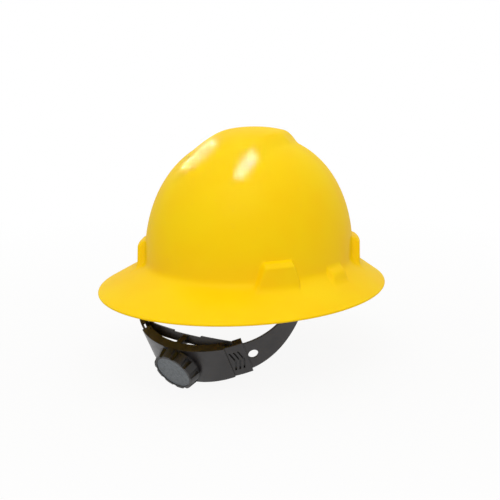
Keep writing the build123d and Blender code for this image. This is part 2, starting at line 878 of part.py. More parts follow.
def make_cradle():
    body = lens(0) & ring_part(
        plate_inner,
        cradle_outer,
        -2 * cradle_low,
        2 * cradle_high,
        -cradle_half_angle_deg,
        cradle_half_angle_deg,
    )
    wing = make_wing()
    body = body + wing + mirror(wing, about=Plane.YZ) + make_rail() + make_post()
    foot = sqrt(cradle_outer**2 - housing_radius**2) - part_gap
    body = body + rod(housing_radius, foot, housing_face)
    reach_deg = wing_end_deg + keeper_deg
    channel = ring_part(
        channel_inner, channel_outer, -channel_low, channel_high, -reach_deg, reach_deg
    )
    open_back = ring_part(
        plate_inner - part_gap,
        loop_radius,
        -channel_low,
        channel_high,
        -plate_half_angle_deg,
        plate_half_angle_deg,
    )
    seat_deg = plate_half_angle_deg + part_gap
    seat = ring_part(
        plate_inner - part_gap,
        channel_inner,
        -2 * cradle_low,
        2 * cradle_high,
        -seat_deg,
        seat_deg,
    )
    body = body - channel - open_back - (seat - post_room(0)) + click_ring()
    body = body - rod(shaft_radius + running_gap, loop_radius, 2 * cradle_outer)
    tip = plate_inner + rivet_head_thick + rivet_length + part_gap
    for angle, height in rivet_places():
        body = body - radial(rod(rivet_radius + running_gap, plate_inner, tip), angle, height)
    return body


def make_back_plate():
    plate = lens(plate_inset) & ring_part(
        plate_inner,
        channel_inner - running_gap,
        -2 * cradle_low,
        2 * cradle_high,
        -plate_half_angle_deg,
        plate_half_angle_deg,
    )
    plate = plate - post_room(part_gap)
    plate = plate - rod(stub_radius + running_gap, plate_inner / 2, loop_radius)
    sink = plate_inner + rivet_head_thick + running_gap
    for angle, height in rivet_places():
        drill = rod(rivet_radius + running_gap, plate_inner / 2, loop_radius)
        room = rod(rivet_head_radius + running_gap, plate_inner / 2, sink)
        plate = plate - radial(drill, angle, height) - radial(room, angle, height)
    return plate


def make_rivet(angle_deg, height):
    under = plate_inner + rivet_head_thick
    pin = rod(rivet_head_radius, plate_inner, under) + rod(rivet_radius, under, under + rivet_length)
    return radial(pin, angle_deg, height)


# Knob, in the loop's frame
def make_knob():
    low = housing_face + part_gap
    body = Pos(0, 0, low) * Cone(
        knob_radius + knob_flare,
        knob_radius,
        knob_face - low,
        align=(Align.CENTER, Align.CENTER, Align.MIN),
    )
    groove_place = knob_radius + knob_groove_radius - knob_groove_sink
    groove = Pos(groove_place, 0, 0) * rod(knob_groove_radius, low - part_gap, 2 * knob_face)
    grooves = [Rot(0, 0, 360 * step / knob_lobes) * groove for step in range(knob_lobes)]
    body = body.cut(*grooves)
    body = body - rod(knob_radius - knob_skirt_wall, low - part_gap, knob_web_low)
    hub = rod(shaft_radius + knob_hub_wall, knob_web_low - knob_hub_drop, knob_web_low)
    body = body + hub
    body = body - rod(cap_radius + part_gap / 2, cap_low, 2 * knob_face)
    body = body - rod(shaft_radius + running_gap, low, shaft_top + running_gap)
    body = body - rod(screw_head_radius + part_gap / 2, screw_seat, 2 * knob_face)
    return body - rod(screw_radius + running_gap, low, 2 * knob_face)


def make_screw():
    head = rod(screw_head_radius, screw_seat, screw_seat + screw_head_height)
    return head + rod(screw_radius, screw_seat - screw_length, screw_seat)


def make_spring():
    """Click spring: a hub on the shaft with two curved arms that each end in a nub."""
    crest = click_ring_outer - click_ring_wall - click_tooth_height
    nub_place = crest - part_gap - spring_nub_radius
    arm_outer = nub_place
    arm_inner = nub_place - spring_arm_wall
    hub_inner = shaft_radius + running_gap
    start = CenterArc((0, 0), arm_inner, 0, spring_sweep_deg)
    outer_arc = CenterArc((0, 0), arm_outer, 0, spring_sweep_deg)
    strip = make_face(
        [start, outer_arc, Line(start @ 0, outer_arc @ 0), Line(start @ 1, outer_arc @ 1)]
    )
    spoke = Pos((hub_inner + arm_outer) / 2, 0) * Rectangle(
        arm_outer - hub_inner, 2 * spring_arm_wall
    )
    nub = Rot(0, 0, spring_sweep_deg) * (Pos(nub_place, 0) * Circle(spring_nub_radius))
    arm = strip + spoke + nub
    face = Circle(shaft_radius + spring_hub_wall) + arm + Rot(0, 0, 180) * arm
    face = face - Circle(hub_inner)
    return extrude(Pos(0, 0, housing_face + part_gap) * face, spring_thick, dir=(0, 0, 1))


# Every piece, built and written
save(make_shell(), "shell")

save(make_key(1, 1), "key_rear_left")
save(make_key(-1, 1), "key_rear_right")
save(make_key(-1, -1), "key_front_left")
save(make_key(1, -1), "key_front_right")
save(make_strap(1, 0), "crown_strap_a")
save(make_strap(-1, web_crossing_gap), "crown_strap_b")

save(make_headband(), "headband")
save(make_pad(), "brow_pad")
save(make_pad_stud(1), "pad_stud_left")
save(make_pad_stud(-1), "pad_stud_right")

save(loop_frame * make_arm(outer_arm_radius, -1), "right_arm")
save(loop_frame * mirror(make_arm(inner_arm_radius, 1), about=Plane.YZ), "left_arm")

save(loop_frame * make_cradle(), "nape_cradle")
save(loop_frame * make_back_plate(), "ratchet_back_plate")
for number, (angle, height) in enumerate(rivet_places(), 1):
    save(loop_frame * make_rivet(angle, height), "plate_rivet_" + str(number))

save(loop_frame * make_pinion(), "pinion")
save(loop_frame * make_spring(), "click_spring")
save(loop_frame * make_knob(), "knob")
save(loop_frame * rod(cap_radius, cap_low, cap_low + cap_thick), "knob_cap")
save(loop_frame * make_screw(), "knob_screw")
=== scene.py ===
import json
import math

import bmesh
import bpy
import numpy as np
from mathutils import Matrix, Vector


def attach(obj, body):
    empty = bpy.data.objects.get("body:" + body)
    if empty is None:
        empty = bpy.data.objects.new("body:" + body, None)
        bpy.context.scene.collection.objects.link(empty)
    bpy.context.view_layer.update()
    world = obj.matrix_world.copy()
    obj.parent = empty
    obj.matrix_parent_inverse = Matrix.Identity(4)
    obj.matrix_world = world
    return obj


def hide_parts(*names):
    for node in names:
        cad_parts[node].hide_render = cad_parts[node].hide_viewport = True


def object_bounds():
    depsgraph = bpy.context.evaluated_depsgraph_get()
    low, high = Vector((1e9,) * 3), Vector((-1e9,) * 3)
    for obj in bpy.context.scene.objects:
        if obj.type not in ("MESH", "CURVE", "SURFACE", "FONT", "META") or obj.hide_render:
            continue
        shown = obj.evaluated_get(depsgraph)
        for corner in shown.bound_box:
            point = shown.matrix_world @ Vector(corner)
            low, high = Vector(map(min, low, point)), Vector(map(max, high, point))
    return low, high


# A yellow full brim hard hat with its suspension, in metres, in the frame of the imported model.
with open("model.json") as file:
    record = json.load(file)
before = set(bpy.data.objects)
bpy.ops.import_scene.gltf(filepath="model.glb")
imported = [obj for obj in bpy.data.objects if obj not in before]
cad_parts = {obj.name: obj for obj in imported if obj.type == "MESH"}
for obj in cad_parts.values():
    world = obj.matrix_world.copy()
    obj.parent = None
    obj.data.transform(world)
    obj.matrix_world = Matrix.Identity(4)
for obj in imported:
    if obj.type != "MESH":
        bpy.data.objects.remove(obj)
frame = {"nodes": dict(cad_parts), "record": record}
nodes = frame["nodes"]
cad_low, cad_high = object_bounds()

MM = 0.001

# Shell, millimetres
DOME_LENGTH = 115.0
DOME_WIDTH = 101.0
DOME_HEIGHT = 126.0
WALL = 2.4
BRIM_LENGTH = 165.0
BRIM_WIDTH = 135.0
BRIM_SHIFT = 8.0
BRIM_DROP = 24.4
BRIM_TILT = math.radians(1.4)
RADIAL_POWER = 2.29
HEIGHT_POWER = 2.19
MEAN_RADIUS = 108.0
COLUMN_STEP = 4.2
SHELL_SHARP = math.radians(38)

# Crown ridge: its fade and its softer shoulders are given by their span along the hat
RIDGE_RISE = 6.5
RIDGE_REAR_SINK = 4.5
RIDGE_FADE = (44.0, 82.0)
RIDGE_HALF_WIDTH = 36.0
RIDGE_TIP_HALF_WIDTH = 5.5
RIDGE_TIP = -84.0
RIDGE_BEND = -12.0
RIDGE_BEND_ROUND = 14.0
RIDGE_SOFT = 9.5
RIDGE_REAR_SOFT = 12.5
RIDGE_SOFTENS = (5.0, 45.0)
RIDGE_HALVINGS = 30

# Lugs and side bosses on the dome's foot
LUG_DEGREES = (50.0, 132.0)
LUG_FOOT_HALF = 25.0
LUG_TOP_HALF = 15.0
LUG_HEIGHT = 22.0
LUG_STAND_OUT = 7.0
LUG_LEAN = 0.8
LUG_LEDGE_DROP = 4.6
LUG_LEDGE_RUN = 4.6
BOSS_HALF = 13.0
BOSS_STAND_OUT = 8.5
BOSS_HEIGHT = 6.0
BOSS_SLOPE = math.radians(30.0)
SOCKET_WIDTH = 26.0
SOCKET_DEPTH = 3.6
SOCKET_TOP = 13.0
SOCKET_BACK = 0.6
SOCKET_NECK_WIDTH = 12.0
SOCKET_NECK_TOP = 3.8
SOCKET_BOTTOM = -30.0
BEHIND_FACE = -2.0
CORNER_SOFT = 0.9
FOOT_SOFT = 0.45
RIDGE_CLEARS_LUGS = 1.2

# Crown straps, sewn round the bars of the keys
WEB_WIDTH = 19.0
WEB_THICK = 1.2
WEB_RISE = 90.0
WEB_CROSSING = 2.4
SEWN_RISE = 34.0
KEY_INSET = 8.0
BAR_LOW = 9.0
BAR_HIGH = 13.0
BAR_ROOM = 1.6
LOOP_ROOM = 0.3
TAIL_START = 3.4
MAIN_START = 1.4
SELVEDGE = 0.4
WEB_SHARP = math.radians(50)
THREAD = 0.45
STITCH = 2.3
STITCH_PITCH = 3.0
BOX_INSET = 2.4
BOX_FOOT = 6.0
BOX_TOP_GAP = 2.6
BOX_STEPS = 12

# Brow pad on the headband's inner face
PAD_WIDTH = 80.1
PAD_LENGTH = 107.1
PAD_SHIFT = 5.0
PAD_TURN = math.radians(52.0)
PAD_HEIGHT = 31.6
PAD_MIDDLE = -21.0
PAD_HEM = 2.6
PAD_HEM_THICK = 1.5
PAD_START_THICK = 2.6
PAD_MOST = 5.6
PAD_LEAST = 0.5
PAD_CORNER = 6.0
PAD_CHANNELS = 7
PAD_CELL = 1.5
PAD_HEM_LEAD = 0.4
PAD_HEM_SLOPE = 3.0
PAD_SEAM_FLAT = 0.2
PAD_SEAM_SLOPE = 2.6
PAD_RIM_LEAD = 1.2
PAD_RIM_SLOPE = 2.0
PAD_THREAD = 0.4
PAD_STITCH = 2.0
SIM_SCALE = 0.01
SIM_FRAMES = 20


# Colours and node trees
def linear(hex_code):
    """Linear colour from an sRGB hex code."""
    channels = [int(hex_code[i : i + 2], 16) / 255 for i in (0, 2, 4)]
    lit = [c / 12.92 if c <= 0.04045 else ((c + 0.055) / 1.055) ** 2.4 for c in channels]
    return (*lit, 1.0)


def add(tree, kind, inputs=None, **settings):
    """One node with its settings; an input is a value or the socket that feeds it."""
    node = tree.nodes.new(kind)
    for name, value in settings.items():
        setattr(node, name, value)
    for key, value in (inputs or {}).items():
        socket = node.inputs[key]
        if isinstance(value, bpy.types.NodeSocket):
            tree.links.new(value, socket)
        else:
            socket.default_value = value
    return node


def mix(tree, factor, first, second):
    """Mixed colour of two colours or sockets."""
    inputs = {0: factor, 6: first, 7: second}
    return add(tree, "ShaderNodeMix", inputs, data_type="RGBA").outputs[2]


def material(name, shader):
    """A new material: its tree, its shader node and its Object coordinates in millimetres."""
    made = bpy.data.materials.new(name)
    made.use_nodes = True
    tree = made.node_tree
    tree.nodes.clear()
    out = add(tree, "ShaderNodeOutputMaterial")
    surface = add(tree, "ShaderNodeBsdfPrincipled", shader)
    tree.links.new(surface.outputs["BSDF"], out.inputs["Surface"])
    coordinates = add(tree, "ShaderNodeTexCoord")
    place = add(
        tree,
        "ShaderNodeMapping",
        {"Vector": coordinates.outputs["Object"], "Scale": (1 / MM, 1 / MM, 1 / MM)},
    )
    return made, tree, surface, place.outputs["Vector"]


def noise(tree, place, size, detail=4.0, roughness=0.55):
    """Noise whose lumps are about size millimetres across."""
    return add(
        tree,
        "ShaderNodeTexNoise",
        {"Vector": place, "Scale": 1 / size, "Detail": detail, "Roughness": roughness},
    ).outputs["Fac"]


def arithmetic(tree, operation, first, second=0.0, clamp=False):
    """One sum on values or sockets."""
    return add(
        tree, "ShaderNodeMath", {0: first, 1: second}, operation=operation, use_clamp=clamp
    ).outputs[0]


def remap(tree, value, low, high, to_low, to_high):
    """A value from low to high, spread over another range and held within it."""
    return add(
        tree,
        "ShaderNodeMapRange",
        {"Value": value, "From Min": low, "From Max": high, "To Min": to_low, "To Max": to_high},
    ).outputs["Result"]


def bump(tree, height, depth_mm, normal=None):
    """Bump of a height from 0 to 1 that stands depth_mm tall."""
    inputs = {"Height": height, "Distance": depth_mm * MM, "Strength": 1.0}
    if normal is not None:
        inputs["Normal"] = normal
    return add(tree, "ShaderNodeBump", inputs).outputs["Normal"]


def rounded(tree, radius_mm):
    """Normal that rounds sharp edges, as a mould's radii do."""
    return add(tree, "ShaderNodeBevel", {"Radius": radius_mm * MM}, samples=6).outputs["Normal"]


def waves(tree, place, period):
    """Sine wave along a length in millimetres."""
    return arithmetic(tree, "SINE", arithmetic(tree, "MULTIPLY", place, 2 * math.pi / period))


def weave_place(tree):
    """The piece's own UV map, in millimetres: along its first and its second way."""
    uv = add(tree, "ShaderNodeUVMap", uv_map="weave")
    split = add(tree, "ShaderNodeSeparateXYZ", {"Vector": uv.outputs["UV"]})
    return split.outputs["X"], split.outputs["Y"]


def seen_directly(tree):
    """1 for the rays that show a background: the camera's, and those of metal and glass."""
    path = add(tree, "ShaderNodeLightPath").outputs
    seen = arithmetic(tree, "MAXIMUM", path["Is Camera Ray"], path["Is Glossy Ray"])
    return arithmetic(tree, "MAXIMUM", seen, path["Is Transmission Ray"])


# Materials
def shell_polyethylene():
    """Moulded polyethylene: even yellow with a thin gloss skin, faint orange peel and scuffs."""
    gloss = {
        "Specular IOR Level": 0.0,
        "Coat Weight": 0.2,
        "Coat IOR": 1.5,
        "Coat Roughness": 0.25,
        "Subsurface Weight": 0.12,
        "Subsurface Radius": (3.0 * MM, 1.6 * MM, 0.4 * MM),
        "Subsurface Scale": 1.0,
    }
    made, tree, surface, place = material("shell_polyethylene", gloss)
    tone = noise(tree, place, 70.0, 2.0)
    colour = mix(tree, remap(tree, tone, 0.35, 0.65, 0.0, 1.0), linear("FBCF05"), linear("FBD60A"))
    scuffs = noise(tree, place, 5.0, 8.0, 0.7)
    worn = remap(tree, scuffs, 0.6, 0.72, 0.0, 1.0)
    colour = mix(tree, arithmetic(tree, "MULTIPLY", worn, 0.12), colour, linear("E3B24A"))
    rough = arithmetic(tree, "ADD", arithmetic(tree, "MULTIPLY", worn, 0.1), 0.2)
    peel = bump(tree, noise(tree, place, 2.4, 1.0), 0.006)
    tree.links.new(colour, surface.inputs["Base Color"])
    tree.links.new(rough, surface.inputs["Roughness"])
    for part in ("Normal", "Coat Normal"):
        tree.links.new(peel, surface.inputs[part])
    return made


def moulded_nylon(name, dark, light, roughness, grain_mm, grain_depth, edge_mm):
    """Moulded nylon or acetal: fine grain, cloudy dulling, and softly rounded edges."""
    made, tree, surface, place = material(name, {"IOR": 1.5})
    cloud = noise(tree, place, 18.0, 3.0)
    colour = mix(tree, remap(tree, cloud, 0.35, 0.65, 0.0, 1.0), linear(dark), linear(light))
    grain = noise(tree, place, grain_mm, 2.0)
    smear = noise(tree, place, 7.0, 6.0, 0.65)
    rough = arithmetic(
        tree, "ADD", remap(tree, smear, 0.3, 0.7, -0.06, 0.08), roughness, clamp=True
    )
    soft = rounded(tree, edge_mm)
    tree.links.new(colour, surface.inputs["Base Color"])
    tree.links.new(rough, surface.inputs["Roughness"])
    tree.links.new(bump(tree, grain, grain_depth, soft), surface.inputs["Normal"])
    return made


def disc_speckled():
    """Grey ABS: sunken speckle of a spark eroded mould, satin between the specks."""
    made, tree, surface, place = material("disc_speckled", {"IOR": 1.5, "Roughness": 0.42})
    specks = add(
        tree, "ShaderNodeTexVoronoi", {"Vector": place, "Scale": 1.5}, feature="F1"
    ).outputs["Distance"]
    dots = remap(tree, specks, 0.1, 0.45, 0.0, 1.0)
    cloud = noise(tree, place, 3.0, 4.0)
    colour = mix(tree, remap(tree, cloud, 0.3, 0.7, 0.0, 1.0), linear("5C666F"), linear("8E98A2"))
    colour = mix(tree, arithmetic(tree, "MULTIPLY", dots, 0.5), colour, linear("2E363E"))
    tree.links.new(colour, surface.inputs["Base Color"])
    tree.links.new(bump(tree, dots, 0.08, rounded(tree, 0.4)), surface.inputs["Normal"])
    return made


def plated_steel():
    """Zinc plated steel: drawn streaks and a dull patchy bloom."""
    made, tree, surface, place = material("plated_steel", {"Metallic": 1.0})
    bloom = noise(tree, place, 1.2, 4.0)
    colour = mix(tree, bloom, linear("8E9096"), linear("BDBFC4"))
    tree.links.new(colour, surface.inputs["Base Color"])
    tree.links.new(remap(tree, bloom, 0.3, 0.7, 0.25, 0.45), surface.inputs["Roughness"])
    tree.links.new(rounded(tree, 0.15), surface.inputs["Normal"])
    return made


def woven_webbing():
    """Black polyester webbing: a plain weave of real pitch, with a fuzz of fibres."""
    fuzzy = {"Roughness": 0.75, "Sheen Weight": 0.35, "Sheen Roughness": 0.4}
    made, tree, surface, place = material("woven_webbing", fuzzy)
    across, along = weave_place(tree)
    over = arithmetic(tree, "MULTIPLY", waves(tree, across, 1.3), waves(tree, along, 1.1))
    height = remap(tree, over, -1.0, 1.0, 0.0, 1.0)
    fibre = noise(tree, place, 0.25, 3.0)
    # painted shade and highlight: the weave's hollows are darker and its crowns lighter, keyed to
    # the same height as its bump
    colour = mix(tree, height, linear("141416"), linear("303034"))
    colour = mix(tree, arithmetic(tree, "MULTIPLY", fibre, 0.35), colour, linear("3C3C42"))
    tree.links.new(colour, surface.inputs["Base Color"])
    normal = bump(tree, fibre, 0.05)
    tree.links.new(bump(tree, height, 0.22, normal), surface.inputs["Normal"])
    return made


def knitted_cover():
    """Charcoal knit over foam: small loops in rows, with a fuzzy surface."""
    fuzzy = {"Roughness": 0.9, "Sheen Weight": 0.4, "Sheen Roughness": 0.5}
    made, tree, surface, place = material("knitted_cover", fuzzy)
    along, up = weave_place(tree)
    loops = arithmetic(tree, "ADD", waves(tree, up, 1.2), waves(tree, along, 0.9))
    knit = remap(tree, loops, -2.0, 2.0, 0.0, 1.0)
    fuzz = noise(tree, place, 0.4, 4.0)
    # painted shade and highlight: the knit's hollows are darker and its loops lighter, keyed to
    # the same height as its bump
    colour = mix(tree, knit, linear("1B1B1E"), linear("35353A"))
    colour = mix(tree, arithmetic(tree, "MULTIPLY", fuzz, 0.4), colour, linear("46464C"))
    tree.links.new(colour, surface.inputs["Base Color"])
    normal = bump(tree, fuzz, 0.08)
    tree.links.new(bump(tree, knit, 0.2, normal), surface.inputs["Normal"])
    return made


def sewing_thread():
    """Dark polyester thread: a fine twist over each stitch."""
    made, tree, surface, place = material("sewing_thread", {"Roughness": 0.55})
    twist = add(
        tree, "ShaderNodeTexWave", {"Vector": place, "Scale": 1.6, "Distortion": 1.5}
    ).outputs["Fac"]
    # painted shade and highlight: the twist's grooves are darker and its ridges lighter, keyed to
    # the same wave as its bump
    colour = mix(tree, twist, linear("2A2A2D"), linear("505056"))
    tree.links.new(colour, surface.inputs["Base Color"])
    tree.links.new(bump(tree, twist, 0.05), surface.inputs["Normal"])
    return made


# Mesh helpers
def place_in_scene(name, data):
    """A new object at the origin that shows the data."""
    made = bpy.data.objects.new(name, data)
    bpy.context.scene.collection.objects.link(made)
    return made


def mesh_piece(name, points, faces, finish):
    """An object from points in metres and faces, smooth, with one material."""
    mesh = bpy.data.meshes.new(name)
    mesh.from_pydata([tuple(p) for p in points], [], faces)
    mesh.validate()
    mesh.shade_smooth()
    mesh.materials.append(finish)
    return place_in_scene(name, mesh)


def smooth_step(x):
    """0 to 1 with soft ends, for x from 0 to 1."""
    x = np.clip(x, 0.0, 1.0)
    return x * x * (3 - 2 * x)


# The shell's surfaces, in millimetres
def oval_reach(angle, width, length):
    """How far an oval reaches at a compass angle from the rear."""
    return 1 / np.sqrt((np.cos(angle) / length) ** 2 + (np.sin(angle) / width) ** 2)


def dome_point(turn, high, grow=0.0):
    """Point of the dome at a height, for turn from the rear towards the left of the wearer."""
    height = DOME_HEIGHT + grow
    share = (1 - np.clip(high / height, 0, 1) ** HEIGHT_POWER) ** (1 / RADIAL_POWER)
    return np.stack(
        [
            (DOME_WIDTH + grow) * share * np.sin(turn),
            (DOME_LENGTH + grow) * share * np.cos(turn),
            high + 0 * turn,
        ],
        -1,
    )


def ridge_level(points, inset):
    """Below 1 inside the dome that the crown ridge is cut from."""
    rise = RIDGE_RISE - inset
    length = DOME_LENGTH + (rise - RIDGE_REAR_SINK - inset) / 2
    shift = (-RIDGE_REAR_SINK - inset - rise) / 2
    x, y, z = points[..., 0], points[..., 1], points[..., 2]
    plan = np.sqrt((x / (DOME_WIDTH + rise)) ** 2 + ((y - shift) / length) ** 2)
    return plan**RADIAL_POWER + (np.clip(z, 0, None) / (DOME_HEIGHT + rise)) ** HEIGHT_POWER


def ridge_mask(points, inset):
    """1 inside the ridge's plan and 0 outside, with a soft step between."""
    x, y = np.abs(points[..., 0]), points[..., 1]
    wide = RIDGE_HALF_WIDTH - inset
    narrow = RIDGE_TIP_HALF_WIDTH - inset
    tip = RIDGE_TIP + inset
    slope = (wide - narrow) / (RIDGE_BEND - tip)
    front_side = (narrow + (y - tip) * slope - x) / math.sqrt(1 + slope**2)
    share = smooth_step((y - RIDGE_BEND + RIDGE_BEND_ROUND) / (2 * RIDGE_BEND_ROUND))
    inside = share * (wide - x) + (1 - share) * front_side
    inside = np.minimum(inside, y - tip)
    fade = smooth_step((y - RIDGE_FADE[0]) / (RIDGE_FADE[1] - RIDGE_FADE[0]))
    rear = smooth_step((y - RIDGE_SOFTENS[0]) / (RIDGE_SOFTENS[1] - RIDGE_SOFTENS[0]))
    soft = RIDGE_SOFT + (RIDGE_REAR_SOFT - RIDGE_SOFT) * rear
    return smooth_step(inside / (2 * soft) + 0.5) * (1 - fade)


def dome_normal(points, grow=0.0):
    """Outward direction of the dome at its points."""
    width, length, height = DOME_WIDTH + grow, DOME_LENGTH + grow, DOME_HEIGHT + grow
    x, y, z = points[..., 0], points[..., 1], np.clip(points[..., 2], 0, None)
    plan = np.sqrt((x / width) ** 2 + (y / length) ** 2) + 1e-9
    steep = RADIAL_POWER * plan ** (RADIAL_POWER - 2)
    rise = HEIGHT_POWER * (z / height) ** (HEIGHT_POWER - 1) / height
    out = np.stack([steep * x / width**2, steep * y / length**2, rise], -1)
    return out / np.linalg.norm(out, axis=-1, keepdims=True)


def raise_ridge(points, grow, inset):
    """The dome's points, lifted to the crown ridge where they lie under it."""
    out = dome_normal(points, grow)
    low = np.zeros(points.shape[:-1])
    high = low + 2 * RIDGE_RISE
    for _ in range(RIDGE_HALVINGS):
        middle = (low + high) / 2
        inside = ridge_level(points + out * middle[..., None], inset) < 1
        low = np.where(inside, middle, low)
        high = np.where(inside, high, middle)
    top = points + out * low[..., None]
    return points + (top - points) * ridge_mask(top, inset)[..., None]


def foot_frame(degrees):
    """Foot of the dome at a compass angle from the rear: its place, its way out, its turn."""
    angle = math.radians(degrees)
    reach = oval_reach(angle, DOME_WIDTH, DOME_LENGTH)
    place = np.array([reach * math.sin(angle), reach * math.cos(angle), 0.0])
    out = np.array([place[0] / DOME_WIDTH**2, place[1] / DOME_LENGTH**2, 0.0])
    turn = math.atan2(place[0] / DOME_WIDTH, place[1] / DOME_LENGTH)
    return place, out / np.linalg.norm(out), turn


def lug_reach(high):
    """How far a lug's face stands out of the dome's foot at a height."""
    ledge = LUG_HEIGHT - LUG_LEDGE_DROP
    lean = LUG_STAND_OUT + LUG_LEAN * np.clip((ledge - high) / (ledge + LUG_STAND_OUT), 0, 1)
    slope = LUG_STAND_OUT - LUG_LEDGE_RUN * (high - ledge) / LUG_LEDGE_DROP
    face = np.where(high < ledge, lean, slope)
    return np.where(high > LUG_HEIGHT, BEHIND_FACE, face)


def boss_reach(high):
    """How far a side boss stands out of the dome's foot at a height."""
    slope = (BOSS_HEIGHT - high) / math.tan(BOSS_SLOPE)
    return np.where(high > BOSS_HEIGHT, BEHIND_FACE, np.minimum(slope, BOSS_STAND_OUT))


def softened(reach, high, spread):
    """Mean of a reach over a short span of height, which rounds its corners."""
    steps = np.linspace(-spread, spread, 9)
    return sum(reach(high + step) for step in steps) / len(steps)


def lug_half(high):
    """Half of a lug's width at a height."""
    foot = -LUG_STAND_OUT
    share = np.clip((high - foot) / (LUG_HEIGHT - foot), 0, 1)
    return LUG_FOOT_HALF + (LUG_TOP_HALF - LUG_FOOT_HALF) * share


# Columns over a lug's and a boss's side: distance outside its edge, and share of its stand out
SIDE_STEPS = ((3.4, 0.0), (1.9, 0.0), (1.0, 0.03), (0.4, 0.1), (-0.2, 0.24), (-1.0, 0.5),
              (-1.8, 0.76), (-2.5, 0.9), (-3.3, 0.975), (-4.4, 1.0))
BOSS_STEPS = ((2.4, 0.0), (1.2, 0.0), (0.5, 0.03), (-0.1, 0.12), (-0.9, 0.36), (-1.8, 0.66),
              (-2.6, 0.87), (-3.4, 0.97), (-4.4, 1.0))


def feature_columns(steps, inner_count):
    """Columns across a lug or boss: sign, offset from its edge, share of the rest, stand out."""
    left = [(-1, offset, 1.0, stand) for offset, stand in steps]
    last = steps[-1][0]
    middle = [
        (math.copysign(1, share), last, abs(share), 1.0)
        for share in np.linspace(-1, 1, inner_count + 2)[1:-1]
    ]
    right = [(1, offset, 1.0, stand) for offset, stand in reversed(steps)]
    return left + middle + right


def shell_columns(high):
    """Turn of each column at each height, and how far it stands on a lug or a boss there."""
    spans = []
    for degrees in (LUG_DEGREES[0], 90.0, LUG_DEGREES[1], 360 - LUG_DEGREES[1], 270.0,
                    360 - LUG_DEGREES[0]):
        _, _, turn = foot_frame(degrees)
        turn = turn % (2 * math.pi)
        rate = math.hypot(DOME_WIDTH * math.cos(turn), DOME_LENGTH * math.sin(turn))
        is_boss = abs(degrees % 180 - 90) < 1
        half = high * 0 + BOSS_HALF if is_boss else lug_half(high)
        reach = boss_reach if is_boss else lug_reach
        columns = feature_columns(BOSS_STEPS if is_boss else SIDE_STEPS, 5 if is_boss else 11)
        turns = [turn + sign * (half + off) * share / rate for sign, off, share, _ in columns]
        spans.append((turns, [c[3] for c in columns], reach))
    all_turns, stands, reaches = [], [], []
    for index, (turns, shares, reach) in enumerate(spans):
        following = spans[(index + 1) % len(spans)][0][0]
        if index == len(spans) - 1:
            following = following + 2 * math.pi
        gap = float(np.mean(following - turns[-1]))
        count = max(8, int(gap * MEAN_RADIUS / COLUMN_STEP))
        all_turns += turns
        stands += shares
        reaches += [reach] * len(turns)
        for step in range(1, count + 1):
            share = step / (count + 1)
            all_turns.append(turns[-1] * (1 - share) + following * share)
            stands.append(0.0)
            reaches.append(reach)
    return np.stack(all_turns, 1), np.array(stands), reaches


def brim_ruling(turn):
    """Both ends of the brim's straight lines: on the dome's foot and on the brim's edge."""
    foot = np.stack(
        [
            (DOME_WIDTH - WALL / 2) * np.sin(turn),
            (DOME_LENGTH - WALL / 2) * np.cos(turn),
            0 * turn,
        ],
        -1,
    )
    lean = BRIM_LENGTH * np.cos(turn)
    edge = np.stack(
        [
            BRIM_WIDTH * np.sin(turn),
            BRIM_SHIFT + lean * math.cos(BRIM_TILT),
            -BRIM_DROP + lean * math.sin(BRIM_TILT),
        ],
        -1,
    )
    return foot, edge


def arc_heights(count, start):
    """Heights from near the dome's top down to start, evenly spaced along its curve."""
    angle = np.linspace(0, math.pi / 2, 4000)
    reach = MEAN_RADIUS * np.cos(angle) ** (2 / RADIAL_POWER)
    rise = DOME_HEIGHT * np.sin(angle) ** (2 / HEIGHT_POWER)
    keep = rise >= start
    reach, rise = reach[keep][::-1], rise[keep][::-1]
    length = np.concatenate([[0], np.cumsum(np.hypot(np.diff(reach), np.diff(rise)))])
    places = np.linspace(length[-1] / (2 * count), length[-1], count)
    return np.interp(places, length, rise)


# Rows of the shell's mesh: heights down the lugs' faces to the foot, and shares across the brim
OUTER_ROWS = 84
OUTER_START = 24.2
INNER_ROWS = 44
INNER_START = 23.0
INNER_HEIGHTS = (-WALL, -1.0, 1.0, 4.0, 8.0, 13.0, 18.0)
LOW_HEIGHTS = (23.4, 22.9, 22.55, 22.25, 22.0, 21.75, 21.4, 20.8, 20.0, 19.0, 18.2, 17.6, 17.2,
               16.8, 16.4, 15.8, 14.8, 13.4, 11.8, 10.2, 8.8, 7.6, 6.8, 6.3, 5.9, 5.4, 4.8, 4.1,
               3.3, 2.5, 1.8, 1.2, 0.8, 0.3, -0.4)
BRIM_SHARES = (0.0, 0.02, 0.045, 0.075, 0.11, 0.15, 0.2, 0.26, 0.33, 0.41, 0.5, 0.59, 0.68,
               0.77, 0.85, 0.92, 0.97, 1.0)
RIM_STEPS = 7

# The foot's fillet: rows above and below it that are evened out, how many times, and the share
# of it that the lugs are spared
FOOT_ROWS = (14, 8)
FOOT_ROUNDS = 70
LUG_HOLD = 0.75


